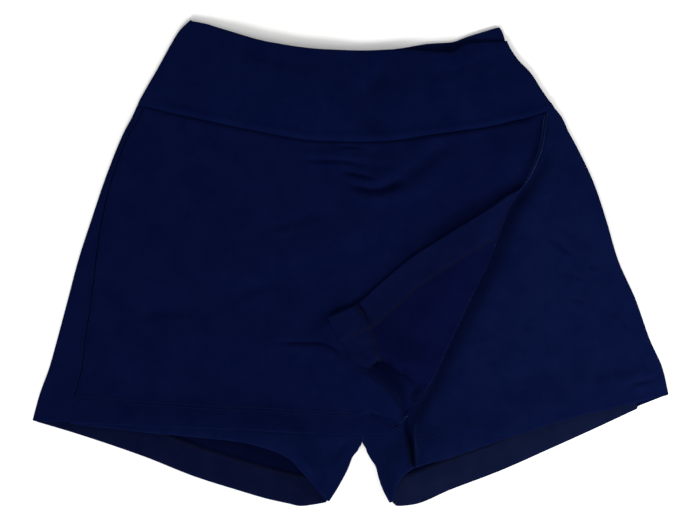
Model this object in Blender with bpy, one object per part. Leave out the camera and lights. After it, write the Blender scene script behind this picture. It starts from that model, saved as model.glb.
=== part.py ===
"""Stretch shorts with a full front flap, laid flat on their back.

X runs across the garment, Y runs up towards the waist and Z is up off the surface it lies on. Each cut
piece is a thin closed wall: a grid of points through the middle of its cloth, with a face on each side.
Sizes in the tables are millimetres. The waist is about 268 wide laid flat and the side about 360 long.
"""

import math
from collections import namedtuple

import bmesh
import bpy
import numpy as np

MM = 0.001
CENTRE = (0.0, -0.15, 0.0)  # of the laid garment's box on the surface, in the frame of the tables

# Cloth, in millimetres
CLOTH = 1.3  # heavy stretch knit
BAND_CLOTH = 2.0  # the waistband is the knit doubled
HEM_EXTRA = 0.9  # how much a turned-up hem adds to the cloth
HEM_DEPTH = 23.0
SEAM_GAP = 0.3
SIDE_SEAM_GAP = 0.5
LAYER_GAP = 0.5  # between cloth lying on cloth
LIP_DROP = 1.5  # how far a front piece turns down over the edge of the back
LIP_REACH = 1.3
LIP_INSET = 2.0  # the edge of a front piece before it turns down, inside the outline
BACK_INSET = 3.4  # the edge of the back inside the outline, under the lip
BAND_BACK_INSET = 4.4  # the same at the right of the waistband, where the outline bends
BAND_BACK_DROP = 2.0  # the back of the band leaves the front's upper edge this far under it
HEM_STEP = 0.004  # share of a panel's length over which a hem thickens
BACK_LENGTH, RIGHT_LEG_LENGTH, FLAP_LENGTH = 280.0, 262.0, 280.0  # waist seam to hem

# The right and left edges of the laid garment at levels from the waist down, and how far inside each edge
# the side seam lies: on the front at the left, on the underside at the right.
Section = namedtuple("Section", "level left left_seam right right_seam")
SECTIONS = (
    Section(205, -137, 5, 124, 6),
    Section(195, -147, 5, 131, 6),
    Section(185, -153, 6, 134, 7),
    Section(172, -160, 6, 142, 7),
    Section(159, -167, 6, 154, 7),
    Section(145, -175, 6, 163, 7),
    Section(131, -182, 6, 173, 7),
    Section(122, -186, 6, 180, 7),
    Section(111, -192, 5, 185, 7),
    Section(100, -197, 5, 191, 8),
    Section(66, -210, 6, 207, 9),
    Section(36, -220, 9, 217, 11),
    Section(2, -231, 15, 227, 14),
    Section(-32, -240, 20, 242, 18),
    Section(-66, -249, 24, 254, 22),
    Section(-91, -256, 28, 265, 26),
    Section(-113, -264, 30, 270, 28),
    Section(-135, -270, 31, 275, 31),
)

# Upper edge of the front and back of the waistband, and the seam under it
WaistPoint = namedtuple("WaistPoint", "x front back")
WAIST_TOP = (
    WaistPoint(-137, 205, 204),
    WaistPoint(-124, 203, 202),
    WaistPoint(-111, 199, 198),
    WaistPoint(-68, 187, 186),
    WaistPoint(-22, 181, 180),
    WaistPoint(12, 180, 179),
    WaistPoint(42, 181, 182),
    WaistPoint(68, 179, 186),
    WaistPoint(85, 178, 187),
    WaistPoint(100, 186, 192),
    WaistPoint(127, 188, 200),
)
SeamPoint = namedtuple("SeamPoint", "x y")
WAIST_SEAM = (
    SeamPoint(-182, 132),
    SeamPoint(-145, 125),
    SeamPoint(-94, 114),
    SeamPoint(-26, 103),
    SeamPoint(12, 102),
    SeamPoint(76, 108),
    SeamPoint(144, 120),
    SeamPoint(174, 129),
)

# Leg openings: the hem of the front lies above the hem of the back
HemPoint = namedtuple("HemPoint", "x front back")
LEFT_HEM = (
    HemPoint(-270, -135, -135),
    HemPoint(-234, -137, -145),
    HemPoint(-175, -144, -165),
    HemPoint(-132, -148, -182),
    HemPoint(-94, -153, -194),
    HemPoint(-60, -164, -203),
    HemPoint(-45, -175, -207),
    HemPoint(-33, -187, -206),
    HemPoint(-18, -202, -204),
)
RIGHT_HEM = (
    HemPoint(33, -203, -204),
    HemPoint(40, -187, -207),
    HemPoint(52, -175, -206),
    HemPoint(85, -165, -193),
    HemPoint(127, -151, -177),
    HemPoint(170, -137, -158),
    HemPoint(212, -126, -139),
    HemPoint(246, -118, -122),
    HemPoint(270, -113, -113),
)
RIGHT_BACK_CORNER = (240.0, -127.0)  # the back of the right leg ends here at its hem and side seam
# The gap between the legs
InnerPoint = namedtuple("InnerPoint", "level left right")
INNER_LEGS = (
    InnerPoint(-153, 9, 11),
    InnerPoint(-158, 7, 13),
    InnerPoint(-165, 1, 17),
    InnerPoint(-173, -2, 22),
    InnerPoint(-181, -6, 24),
    InnerPoint(-190, -11, 27),
    InnerPoint(-203, -17, 32),
)
CENTRE_X = 12  # where left and right pieces meet at the waist
CROTCH_X = 10

# Lower edge of the flap, from the side seam to the turned corner
FLAP_HEM = (
    SeamPoint(-239, -136),
    SeamPoint(-170, -139),
    SeamPoint(-85, -142),
    SeamPoint(17, -146),
    SeamPoint(41, -141),
)
# The corner of the flap that is turned back over it. The axis is the line it turns about; width is the
# cloth past that line, along how far that cloth slants up beside it, and bow how far its row bends.
Turn = namedtuple("Turn", "down axis_x axis_y along width angle radius bow")
TURNS = (
    Turn(0.000, 158, 124, -1.5, 10, 0, 1.2, 0),
    Turn(0.092, 151, 98, -1.5, 10, 0, 1.2, 0),
    Turn(0.143, 147, 84, -1.5, 8, 25, 1.2, 0),
    Turn(0.194, 143, 70, -1.5, 7, 70, 1.2, 0),
    Turn(0.230, 140, 60, -2.0, 7, 125, 1.2, 0),
    Turn(0.265, 137, 50, -2.5, 9, 170, 1.2, 0),
    Turn(0.329, 131, 32, -6.0, 20, 180, 1.2, 0),
    Turn(0.439, 119, 2, -6.0, 45, 180, 1.2, 0),
    Turn(0.570, 102, -32, -9.0, 65, 180, 1.2, 0),
    Turn(0.712, 85, -70, -20.0, 80, 180, 1.2, 1),
    Turn(0.842, 68, -104, -27.0, 94, 180, 1.4, 3),
    Turn(0.935, 54, -127, -28.0, 109, 180, 2.4, 6),
    Turn(1.000, 41, -141, -28.5, 120, 180, 4.0, 10),
)
EAR_LIFT = 2.4  # the turned corner over the flap, middle to middle of the cloth
EAR_SETTLE = 16.0  # how soon its open roll closes
EAR_HEM_FROM = 0.29  # down the flap, where the side hem becomes double
TURN_GAP = 8.0  # the leg's own folds begin this far to the right of the turned edge
TURN_FADE = 16.0

# Soft mounds of the body of the garment, shared by every layer of its front
Fold = namedtuple("Fold", "x y half_length half_width angle height")
MOUNDS = (
    Fold(-110, 20, 150, 90, 80, 2.6),
    Fold(-80, -110, 120, 60, -5, 2.2),
    Fold(150, -60, 120, 70, -60, 3.6),
    Fold(60, 80, 110, 60, 0, 1.6),
    Fold(-85, 155, 70, 40, -12, 2.2),
    Fold(95, 150, 60, 40, 12, 2.2),
)
# The largest folds of each piece that shows, each standing over the layer below it
BAND_FOLDS = (
    Fold(-20, 150, 34, 16, 75, 1.3),
    Fold(40, 145, 30, 14, 95, 1.4),
    Fold(75, 165, 45, 9, 8, 1.6),
)
FLAP_FOLDS = (
    Fold(50, 80, 60, 14, 35, 2.4),
    Fold(25, 70, 34, 8, 8, 1.6),
    Fold(-5, 85, 40, 5, -4, 1.2),
    Fold(30, 45, 80, 16, 34, 1.4),
    Fold(-40, 10, 90, 16, 12, 1.4),
    Fold(-10, -82, 45, 12, -12, 2.2),
    Fold(-120, -60, 80, 18, 8, 1.2),
)
LEG_FOLDS = (
    Fold(120, -110, 80, 26, -68, 3.4),
    Fold(76, -140, 34, 12, 98, 3.6),
    Fold(36, -168, 26, 7, 110, 1.6),
    Fold(190, 15, 24, 6, -50, 1.4),
    Fold(204, -12, 26, 5, -60, 1.4),
    Fold(232, -55, 26, 6, -62, 1.6),
    Fold(245, -100, 28, 7, 12, 1.6),
)
EDGE_RISE = 48.0  # over this distance from an outer edge the garment reaches its full height
HEM_LIFT = 1.0  # the leg openings stand open a little
HEM_LIFT_REACH = 45.0
FLAT_LOFT = 0.4  # of the layers where no mound lifts them
EDGE_FADE = 14.0  # folds die out over this distance from a side

# Levels of the layers, in millimetres over the surface
FRONT_TOP = CLOTH + LAYER_GAP + CLOTH
FLAP_TOP = FRONT_TOP + LAYER_GAP + CLOTH
BAND_TOP = BAND_CLOTH + LAYER_GAP + BAND_CLOTH

NAVY = (0.0025, 0.0056, 0.030, 1.0)
NAVY_BAND = (0.0022, 0.0058, 0.032, 1.0)
NAVY_INSIDE = (0.0035, 0.0065, 0.027, 1.0)


# Tables and lines


def column(table, name):
    return np.array([getattr(row, name) for row in table], float)


def curve(at, xs, ys):
    """A smooth curve through points with rising xs that never swings past them, read at some places."""
    rates = np.diff(ys) / np.diff(xs)
    before, after = rates[:-1], rates[1:]
    same_way = before * after > 0
    mean = 2 * before * after / np.where(same_way, before + after, 1.0)
    slopes = np.concatenate([rates[:1], np.where(same_way, mean, 0.0), rates[-1:]])
    row = np.clip(np.searchsorted(xs, at, side="right") - 1, 0, len(rates) - 1)
    width = np.diff(xs)[row]
    t = (at - xs[row]) / width
    return (
        (2 * t**3 - 3 * t**2 + 1) * ys[row]
        + (t**3 - 2 * t**2 + t) * width * slopes[row]
        + (3 * t**2 - 2 * t**3) * ys[row + 1]
        + (t**3 - t**2) * width * slopes[row + 1]
    )


def at_level(name, level):
    """A column of the sections, read at some levels."""
    return curve(np.asarray(level, float), column(SECTIONS, "level")[::-1], column(SECTIONS, name)[::-1])


def at_seam(x):
    """The level of the seam under the waistband."""
    return curve(np.asarray(x, float), column(WAIST_SEAM, "x"), column(WAIST_SEAM, "y"))


def points_of(table, x="x", y="y"):
    return np.stack([column(table, x), column(table, y)], axis=1)


def side_line(side, inset, top, bottom, steps=40):
    """Points down one side of the garment, a distance inside its edge; side is 'left' or 'right'."""
    levels = np.linspace(top, bottom, steps)
    inwards = 1 if side == "left" else -1
    return np.stack([at_level(side, levels) + inwards * inset, levels], axis=1)


def side_seam_line(side, gap, top, bottom, steps=40):
    """Points down a side seam; gap is away from the side."""
    levels = np.linspace(top, bottom, steps)
    inwards = 1 if side == "left" else -1
    inset = at_level(side + "_seam", levels) + gap
    return np.stack([at_level(side, levels) + inwards * inset, levels], axis=1)


def seam_line(x_from, x_to, gap, steps=40):
    """Points along the seam under the waistband; gap is upwards."""
    x = np.linspace(x_from, x_to, steps)
    return np.stack([x, at_seam(x) + gap], axis=1)


def seam_end(side, inset):
    """Where a line inside one side of the garment meets the seam under the waistband."""
    inwards, x = (1, WAIST_SEAM[0].x) if side == "left" else (-1, WAIST_SEAM[-1].x)
    for _ in range(4):
        x = at_level(side, at_seam(x)) + inwards * inset
    return x


def inner_line(side, inset):
    """Points down the inner edge of a leg, from the crotch; inset is into the cloth."""
    outwards = -1 if side == "left" else 1
    line = points_of(INNER_LEGS, side, "level")
    line[:, 0] += outwards * inset
    return line


def inner_edge(side, inset, centre_inset, foot):
    """The centre line of a leg piece from the waist, then the inner edge of the leg down to its hem."""
    outwards = -1 if side == "left" else 1
    leg = inner_line(side, inset)[1:-1]
    top = [CENTRE_X + outwards * centre_inset, at_seam(CENTRE_X) - SEAM_GAP / 2]
    crotch = [CROTCH_X + outwards * centre_inset, INNER_LEGS[0].level + inset]
    return np.vstack([np.linspace(top, crotch, 8), leg, [foot]])


def spread(line, fractions):
    """Points at fractions of a line's length, on a smooth curve through its points."""
    steps = np.linalg.norm(np.diff(line, axis=0), axis=1)
    reach = np.concatenate([[0.0], np.cumsum(steps)])
    at = np.asarray(fractions) * reach[-1]
    return np.stack([curve(at, reach, line[:, 0]), curve(at, reach, line[:, 1])], axis=1)


def patch(top, bottom, left, right, across, down):
    """Plan points of a panel from its four edges (a Coons patch): rows go down, columns across."""
    u = np.asarray(across)[None, :, None]
    v = np.asarray(down)[:, None, None]
    head, foot = spread(top, across)[None], spread(bottom, across)[None]
    near, far = spread(left, down)[:, None], spread(right, down)[:, None]
    near = near + (1 - v) * (head[:, :1] - near[:1]) + v * (foot[:, :1] - near[-1:])
    far = far + (1 - v) * (head[:, -1:] - far[:1]) + v * (foot[:, -1:] - far[-1:])
    corners = (
        (1 - u) * (1 - v) * head[:, :1]
        + u * (1 - v) * head[:, -1:]
        + (1 - u) * v * foot[:, :1]
        + u * v * foot[:, -1:]
    )
    return (1 - v) * head + v * foot + (1 - u) * near + u * far - corners


# Heights


def smooth_step(value):
    t = np.clip(value, 0.0, 1.0)
    return t * t * (3 - 2 * t)


def distance_to(line, x, y):
    """Distance in plan from each point to a line of points."""
    found = np.full(np.shape(x), np.inf)
    for (ax, ay), (bx, by) in zip(line[:-1], line[1:]):
        reach = (bx - ax) ** 2 + (by - ay) ** 2
        t = np.clip(((x - ax) * (bx - ax) + (y - ay) * (by - ay)) / reach, 0, 1)
        found = np.minimum(found, np.hypot(x - ax - t * (bx - ax), y - ay - t * (by - ay)))
    return found


def folds_at(folds, x, y):
    """The height of a table of soft mounds or folds, each a bell along and across its own direction."""
    height = np.zeros(np.shape(x))
    for fold in folds:
        turn = math.radians(fold.angle)
        along = (x - fold.x) * math.cos(turn) + (y - fold.y) * math.sin(turn)
        beside = (y - fold.y) * math.cos(turn) - (x - fold.x) * math.sin(turn)
        height += fold.height * np.exp(-((along / fold.half_length) ** 2 + (beside / fold.half_width) ** 2))
    return height


def loft(x, y):
    """How far the front stands over its level where it lies flat: nothing at the outer edges."""
    edges = [side_line(side, 0, SECTIONS[0].level, SECTIONS[-1].level) for side in ("left", "right")]
    edges += [inner_line(side, 0) for side in ("left", "right")]
    rise = np.min([distance_to(edge, x, y) for edge in edges], axis=0) / EDGE_RISE
    hem_x = np.concatenate([column(LEFT_HEM, "x"), column(RIGHT_HEM, "x")])
    hem_y = np.concatenate([column(LEFT_HEM, "front"), column(RIGHT_HEM, "front")])
    hem = smooth_step(1 - (y - np.interp(x, hem_x, hem_y)) / HEM_LIFT_REACH)
    return smooth_step(rise) * (FLAT_LOFT + folds_at(MOUNDS, x, y)) + HEM_LIFT * hem


def edge_fade(x, y):
    """Folds die out towards the outer edges."""
    sides = [side_line(side, 0, SECTIONS[0].level, SECTIONS[-1].level) for side in ("left", "right")]
    return smooth_step(np.min([distance_to(side, x, y) for side in sides], axis=0) / EDGE_FADE)


def front_top(x, y):
    return FRONT_TOP + loft(x, y)


def leg_top(x, y):
    """The top of the right leg, whose own folds lie clear of the flap."""
    return front_top(x, y) + edge_fade(x, y) * folds_at(LEG_FOLDS, x, y) * beyond_turn(x, y)


def beyond_turn(x, y):
    """1 to the right of the line that the corner turns about, 0 to its left."""
    axis_x = np.interp(-y, -column(TURNS, "axis_y"), column(TURNS, "axis_x"))
    axis_x = np.where(y < TURNS[-1].axis_y - TURN_GAP, SECTIONS[-1].left, axis_x)
    return smooth_step((x - axis_x - TURN_GAP) / TURN_FADE)


def flap_top(x, y):
    return FLAP_TOP + loft(x, y) + edge_fade(x, y) * folds_at(FLAP_FOLDS, x, y)


def band_top(x, y):
    return BAND_TOP + loft(x, y) + edge_fade(x, y) * folds_at(BAND_FOLDS, x, y)


def laid(plan, top, thickness):
    """The middle of a cloth whose upper face follows a height."""
    x, y = plan[..., 0], plan[..., 1]
    return np.dstack([x, y, top(x, y) - thickness / 2])


def on_floor(plan, thickness):
    return np.dstack([plan, np.full(plan.shape[:2], thickness / 2)])


# Rows of points added beside a panel


def units(vectors):
    return vectors / np.linalg.norm(vectors, axis=-1, keepdims=True)


def outward(line, side):
    """Directions in plan that point out of a panel at the points down one of its edges."""
    down = units(np.gradient(line[:, :2], axis=0))
    across = np.stack([down[:, 1], -down[:, 0]], axis=1)
    return -across if side == "right" else across


def add_columns(grid, columns, side):
    """The grid with more columns of points beside it; columns are in order from its edge outwards."""
    more = np.stack(columns, axis=1)
    return np.concatenate([grid, more] if side == "right" else [more[:, ::-1], grid], axis=1)


def with_lip(grid, side):
    """A last column turned down over the edge of the cloth below, except along the centre seam."""
    edge = grid[:, -1] if side == "right" else grid[:, 0]
    lip = edge.copy()
    on_centre = (abs(edge[:, 0] - CENTRE_X) < 6) & (edge[:, 1] > INNER_LEGS[0].level)
    lip[:, :2] += outward(edge, side) * LIP_REACH
    lip[:, 2] -= np.where(on_centre, 0.0, LIP_DROP)
    return add_columns(grid, [lip], side)


def side_roll(edge, out, from_z, to_z, steps):
    """Columns round a half circle from one height to another, starting past the edge and ending over it."""
    columns = []
    for step in range(1, steps + 1):
        angle = math.pi * step / steps
        reach = np.abs(from_z - to_z)[:, None] / 2 * math.sin(angle)
        height = (from_z + to_z) / 2 + (from_z - to_z) / 2 * math.cos(angle)
        columns.append(np.column_stack([edge[:, :2] + out * reach, height]))
    return columns


def towards_seam(edge, side, gap, share):
    """Plan points on the way from a rolled edge back to its side seam, kept below the waist seam."""
    inwards = 1 if side == "left" else -1
    seam_y = edge[:, 1]
    for _ in range(2):
        seam_x = at_level(side, seam_y) + inwards * (at_level(side + "_seam", seam_y) + gap)
        seam_y = np.minimum(edge[:, 1], at_seam(seam_x) - SEAM_GAP)
    return edge[:, 0] + (seam_x - edge[:, 0]) * share, edge[:, 1] + (seam_y - edge[:, 1]) * share


def hem_rows(rows, length):
    """Fractions down a panel, two of them close together where the hem is sewn, and which lie in the hem."""
    hem_share = HEM_DEPTH / length
    above = np.linspace(0, 1 - hem_share, rows + 1)
    below = np.linspace(1 - hem_share + HEM_STEP, 1, 4)
    return np.concatenate([above, below]), np.concatenate([np.zeros(rows + 1), np.ones(4)])


# Solids


def material(name, colour, roughness):
    found = bpy.data.materials.new(name)
    found.use_nodes = True
    shader = found.node_tree.nodes["Principled BSDF"]
    shader.inputs["Base Color"].default_value = colour
    shader.inputs["Roughness"].default_value = roughness
    shader.inputs["Metallic"].default_value = 0.0
    return found


def sheet_normals(middle):
    """The direction off the cloth at each point, from the mean direction of the rows that meet there."""

    def direction(axis):
        steps = units(np.diff(middle, axis=axis))
        first = np.take(steps, [0], axis=axis)
        last = np.take(steps, [-1], axis=axis)
        return np.concatenate([first, steps], axis=axis) + np.concatenate([steps, last], axis=axis)

    return units(np.cross(direction(0), direction(1)))


def wall(name, middle, face, back, colour, floor=False):
    """A closed wall round a grid of points in millimetres; each side stands off it by face or back."""
    rows, columns = middle.shape[:2]
    normals = sheet_normals(middle)
    face = np.broadcast_to(face, (rows, columns))[..., None]
    back = np.broadcast_to(back, (rows, columns))[..., None]
    sides = [middle + normals * face, middle - normals * back]
    if floor:
        sides = [np.where(abs(side) < [0, 0, 0.3], 0.0, side) for side in sides]
    mesh = bmesh.new()
    face_at, back_at = [
        [[mesh.verts.new((point - CENTRE) * MM) for point in row] for row in side] for side in sides
    ]

    def quad(a, b, c, d):
        mesh.faces.new((a, b, c, d))

    for i in range(rows - 1):
        for j in range(columns - 1):
            quad(face_at[i][j], face_at[i + 1][j], face_at[i + 1][j + 1], face_at[i][j + 1])
            quad(back_at[i][j], back_at[i][j + 1], back_at[i + 1][j + 1], back_at[i + 1][j])
    for i in range(rows - 1):
        quad(face_at[i + 1][0], face_at[i][0], back_at[i][0], back_at[i + 1][0])
        quad(face_at[i][-1], face_at[i + 1][-1], back_at[i + 1][-1], back_at[i][-1])
    for j in range(columns - 1):
        quad(face_at[0][j], face_at[0][j + 1], back_at[0][j + 1], back_at[0][j])
        quad(face_at[-1][j + 1], face_at[-1][j], back_at[-1][j], back_at[-1][j + 1])
    data = bpy.data.meshes.new(name)
    mesh.to_mesh(data)
    mesh.free()
    data.shade_smooth()
    data.set_sharp_from_angle(angle=math.radians(50))
    piece = bpy.data.objects.new(name, data)
    piece.data.materials.append(material(name + "_cloth", colour, 0.85))
    bpy.context.scene.collection.objects.link(piece)
    return piece


# Pieces


def waistband_back():
    """The back of the band lies on the surface; its inside shows above the front at the right."""
    across, down = np.linspace(0, 1, 31), np.linspace(0, 1, 9)
    top = points_of(WAIST_TOP, "x", "back")
    top[0, 0] += BACK_INSET
    seam = seam_line(seam_end("left", BACK_INSET), seam_end("right", BACK_INSET), SEAM_GAP / 2)
    left = side_line("left", BACK_INSET, top[0, 1], seam[0, 1])
    right = side_line("right", BAND_BACK_INSET, WAIST_TOP[-1].front - BAND_BACK_DROP, seam[-1, 1])
    right = np.vstack([top[-1:], right])
    plan = patch(top, seam, left, right, across, down)
    half = BAND_CLOTH / 2
    wall("waistband_back", on_floor(plan, BAND_CLOTH), half, half, NAVY_INSIDE, floor=True)


def waistband_front():
    """The front of the band turns down over the edge of the back at both sides."""
    across, down = np.linspace(0, 1, 31), np.linspace(0, 1, 9)
    top = points_of(WAIST_TOP, "x", "front")
    top[0, 0] += LIP_INSET
    top[-1, 0] = at_level("right", top[-1, 1]) - LIP_INSET
    seam = seam_line(seam_end("left", LIP_INSET), seam_end("right", LIP_INSET), SEAM_GAP / 2)
    left = side_line("left", LIP_INSET, top[0, 1], seam[0, 1])
    right = side_line("right", LIP_INSET, top[-1, 1], seam[-1, 1])
    plan = patch(top, seam, left, right, across, down)
    grid = laid(plan, band_top, BAND_CLOTH)
    grid = with_lip(with_lip(grid, "left"), "right")
    wall("waistband_front", grid, BAND_CLOTH / 2, BAND_CLOTH / 2, NAVY_BAND)


def back_left():
    """The back of the left leg, its hem turned up inside; it rolls round the side onto the front."""
    across = np.linspace(0, 1, 15)
    down, in_hem = hem_rows(14, BACK_LENGTH)
    roll = FLAP_TOP / 2
    top = seam_line(seam_end("left", roll), CENTRE_X - SEAM_GAP / 2, -SEAM_GAP / 2)
    hem = points_of(LEFT_HEM, "x", "back")
    hem[0, 0] += roll
    hem[-1, 0] -= BACK_INSET
    left = side_line("left", roll, top[0, 1], hem[0, 1])
    right = inner_edge("left", BACK_INSET, SEAM_GAP / 2, hem[-1])
    grid = on_floor(patch(top, hem, left, right, across, down), CLOTH)
    edge = grid[:, 0]
    over = flap_top(edge[:, 0], edge[:, 1]) - CLOTH / 2
    columns = side_roll(edge, outward(edge, "left"), edge[:, 2], over, 4)
    for share in (0.34, 0.67, 1.0):
        x, y = towards_seam(edge, "left", 0, share)
        columns.append(np.column_stack([x, y, flap_top(x, y) - CLOTH / 2]))
    grid = add_columns(grid, columns, "left")
    at = np.arange(grid.shape[1])
    floor_part, strip_part = at > len(columns), at < 3
    inside = CLOTH / 2 + HEM_EXTRA * np.outer(in_hem, floor_part)
    outside = CLOTH / 2 + HEM_EXTRA * np.outer(in_hem, strip_part)
    wall("back_left", grid, inside, outside, NAVY_INSIDE, floor=True)


def back_right():
    """The back of the right leg, between the centre and the side seam on the underside."""
    across = np.linspace(0, 1, 15)
    down, in_hem = hem_rows(14, BACK_LENGTH)
    seam_in = at_level("right_seam", WAIST_SEAM[-1].y)
    top = seam_line(CENTRE_X + SEAM_GAP / 2, seam_end("right", seam_in), -SEAM_GAP / 2)
    hem = points_of(RIGHT_HEM, "x", "back")
    hem[0, 0] += BACK_INSET
    hem = np.vstack([hem[hem[:, 0] < RIGHT_BACK_CORNER[0]], RIGHT_BACK_CORNER])
    right = side_seam_line("right", 0, top[-1, 1], hem[-1, 1])
    hem[-1] = right[-1]
    left = inner_edge("right", BACK_INSET, SEAM_GAP / 2, hem[0])
    plan = patch(top, hem, left, right, across, down)
    inside = CLOTH / 2 + HEM_EXTRA * np.outer(in_hem, np.ones(len(across)))
    wall("back_right", on_floor(plan, CLOTH), inside, CLOTH / 2, NAVY_INSIDE, floor=True)


def front_left():
    """The front of the left leg, under the flap, its edges at the side seam, centre and inner leg."""
    across = np.linspace(0, 1, 15)
    down = np.linspace(0, 1, 17)
    first = seam_end("left", at_level("left_seam", WAIST_SEAM[0].y) + SIDE_SEAM_GAP)
    top = seam_line(first, CENTRE_X - SEAM_GAP / 2 - LIP_REACH, -SEAM_GAP / 2)
    hem = points_of(LEFT_HEM, "x", "front")[1:]
    left = side_seam_line("left", SIDE_SEAM_GAP, top[0, 1], hem[0, 1])
    hem[0] = left[-1]
    hem[-1, 0] -= LIP_INSET
    right = inner_edge("left", LIP_INSET, SEAM_GAP / 2 + LIP_REACH, hem[-1])
    plan = patch(top, hem, left, right, across, down)
    grid = with_lip(laid(plan, front_top, CLOTH), "right")
    wall("front_left", grid, CLOTH / 2, CLOTH / 2, NAVY)


def front_right():
    """The right leg that shows; it rolls round the side to the seam on the underside."""
    across = np.linspace(0, 1, 23)
    down, in_hem = hem_rows(20, RIGHT_LEG_LENGTH)
    roll = FRONT_TOP / 2
    top = seam_line(CENTRE_X + SEAM_GAP / 2 + LIP_REACH, seam_end("right", roll), -SEAM_GAP / 2)
    hem = points_of(RIGHT_HEM, "x", "front")
    hem[0, 0] += LIP_INSET
    hem[-1, 0] -= roll
    right = side_line("right", roll, top[-1, 1], hem[-1, 1])
    left = inner_edge("right", LIP_INSET, SEAM_GAP / 2 + LIP_REACH, hem[0])
    grid = laid(patch(top, hem, left, right, across, down), leg_top, CLOTH)
    edge = grid[:, -1]
    floor_z = np.full(len(edge), CLOTH / 2)
    columns = side_roll(edge, outward(edge, "right"), edge[:, 2], floor_z, 4)
    for share in (0.5, 1.0):
        x, y = towards_seam(edge, "right", -SIDE_SEAM_GAP, share)
        columns.append(np.column_stack([x, y, floor_z]))
    grid = add_columns(grid, columns, "right")
    grid = with_lip(grid, "left")
    top_part = np.arange(grid.shape[1]) < len(across)
    outside = CLOTH / 2 + HEM_EXTRA * np.outer(in_hem, top_part)
    wall("front_right", grid, outside, CLOTH / 2, NAVY, floor=True)


def turned_rows(down):
    """Columns of points past the line that the corner turns about, and which lie in its side hem."""
    value = {name: np.interp(down, column(TURNS, "down"), column(TURNS, name)) for name in Turn._fields}
    axis = np.stack([value["axis_x"], value["axis_y"]], axis=1)
    along = units(np.gradient(axis, axis=0))
    out = np.stack([-along[:, 1], along[:, 0]], axis=1)
    angle, radius, width = np.radians(value["angle"]), value["radius"], value["width"]
    bend = np.maximum(radius * angle, 3.0)
    hem_from = np.maximum(width - HEM_DEPTH, bend + 2.0)
    reach = [bend * share for share in (0.25, 0.5, 0.75, 1.0)]
    reach += [bend + (hem_from - 0.8 - bend) * share for share in (0.35, 0.7, 1.0)]
    reach += [hem_from + (width - hem_from) * share for share in (0.0, 0.5, 1.0)]
    columns = []
    for at in reach:
        on_bend = np.minimum(at, radius * angle)
        straight = at - on_bend
        beside = radius * np.sin(on_bend / radius) + straight * np.cos(angle)
        rise = radius * (1 - np.cos(on_bend / radius)) + straight * np.sin(angle)
        turned = angle > math.radians(175)
        settled = EAR_LIFT + (2 * radius - EAR_LIFT) * np.exp(-straight / EAR_SETTLE)
        rise = np.where(turned & (straight > 0), settled, rise)
        share = at / width
        slant = value["along"] * share - value["bow"] * 4 * share * (1 - share)
        plan = axis + along * slant[:, None] + out * beside[:, None]
        height = flap_top(plan[:, 0], plan[:, 1]) - CLOTH / 2 + rise
        columns.append(np.column_stack([plan, height]))
    in_hem = np.zeros(len(reach))
    in_hem[-3:] = 1
    return columns, in_hem


def front_flap():
    """The overlay: sewn at the waist and the left side, its free lower right corner turned back."""
    across = np.linspace(0, 1, 21)
    down, in_hem = hem_rows(24, FLAP_LENGTH)
    first = seam_end("left", at_level("left_seam", WAIST_SEAM[0].y) + SIDE_SEAM_GAP)
    top = seam_line(first, TURNS[0].axis_x, -SEAM_GAP)
    hem = points_of(FLAP_HEM)
    left = side_seam_line("left", SIDE_SEAM_GAP, top[0, 1], hem[0, 1])
    hem[0] = left[-1]
    right = points_of(TURNS, "axis_x", "axis_y")
    right[0] = top[-1]
    plan = patch(top, hem, left, right, across, down)
    grid = laid(plan, flap_top, CLOTH)
    columns, in_side_hem = turned_rows(down)
    grid = add_columns(grid, columns, "right")
    flat_part = np.arange(grid.shape[1]) < len(across) - 1
    turned_part = np.concatenate([np.zeros(len(across) + 3), np.ones(len(in_side_hem) - 3)])
    side_hem = np.concatenate([np.zeros(len(across)), in_side_hem])
    double = smooth_step((down - EAR_HEM_FROM) / 0.04)
    doubled = np.maximum(np.outer(double, side_hem), np.outer(in_hem, turned_part))
    right_side = CLOTH / 2 + HEM_EXTRA * np.outer(in_hem, flat_part)
    wrong_side = CLOTH / 2 + HEM_EXTRA * doubled
    wall("front_flap", grid, right_side, wrong_side, NAVY)


def clear_scene():
    for thing in list(bpy.data.objects):
        bpy.data.objects.remove(thing, do_unlink=True)


def main():
    clear_scene()
    waistband_back()
    waistband_front()
    back_left()
    back_right()
    front_left()
    front_right()
    front_flap()


main()
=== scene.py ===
"""The looks of stretch shorts with a full front flap, laid flat on their back and seen from straight above.

Each cut piece is a thin shell of cloth that keeps to its solid's form and adds the creases, hems and seams.
Sizes in the tables are millimetres. X runs across the garment, Y up towards the waist, Z up off the surface.
"""

import math
from collections import namedtuple

import bpy
import numpy as np
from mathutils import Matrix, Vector

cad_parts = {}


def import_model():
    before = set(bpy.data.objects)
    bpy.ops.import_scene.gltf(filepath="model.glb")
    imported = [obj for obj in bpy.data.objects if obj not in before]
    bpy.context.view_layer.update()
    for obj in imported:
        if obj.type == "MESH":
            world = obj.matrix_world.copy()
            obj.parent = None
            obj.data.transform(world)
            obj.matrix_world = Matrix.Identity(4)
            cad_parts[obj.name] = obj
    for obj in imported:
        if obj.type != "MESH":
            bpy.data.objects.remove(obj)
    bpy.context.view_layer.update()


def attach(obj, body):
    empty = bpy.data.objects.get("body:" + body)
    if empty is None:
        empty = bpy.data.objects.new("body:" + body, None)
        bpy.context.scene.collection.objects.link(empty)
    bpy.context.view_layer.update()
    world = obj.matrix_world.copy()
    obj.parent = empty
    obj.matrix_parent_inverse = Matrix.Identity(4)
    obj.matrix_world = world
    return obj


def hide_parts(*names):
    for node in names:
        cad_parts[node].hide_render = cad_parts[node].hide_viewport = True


def table(columns, *rows):
    """A table whose rows are read by the names of its columns."""
    row = namedtuple("Row", columns)
    return [row(*values) for values in rows]


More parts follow.
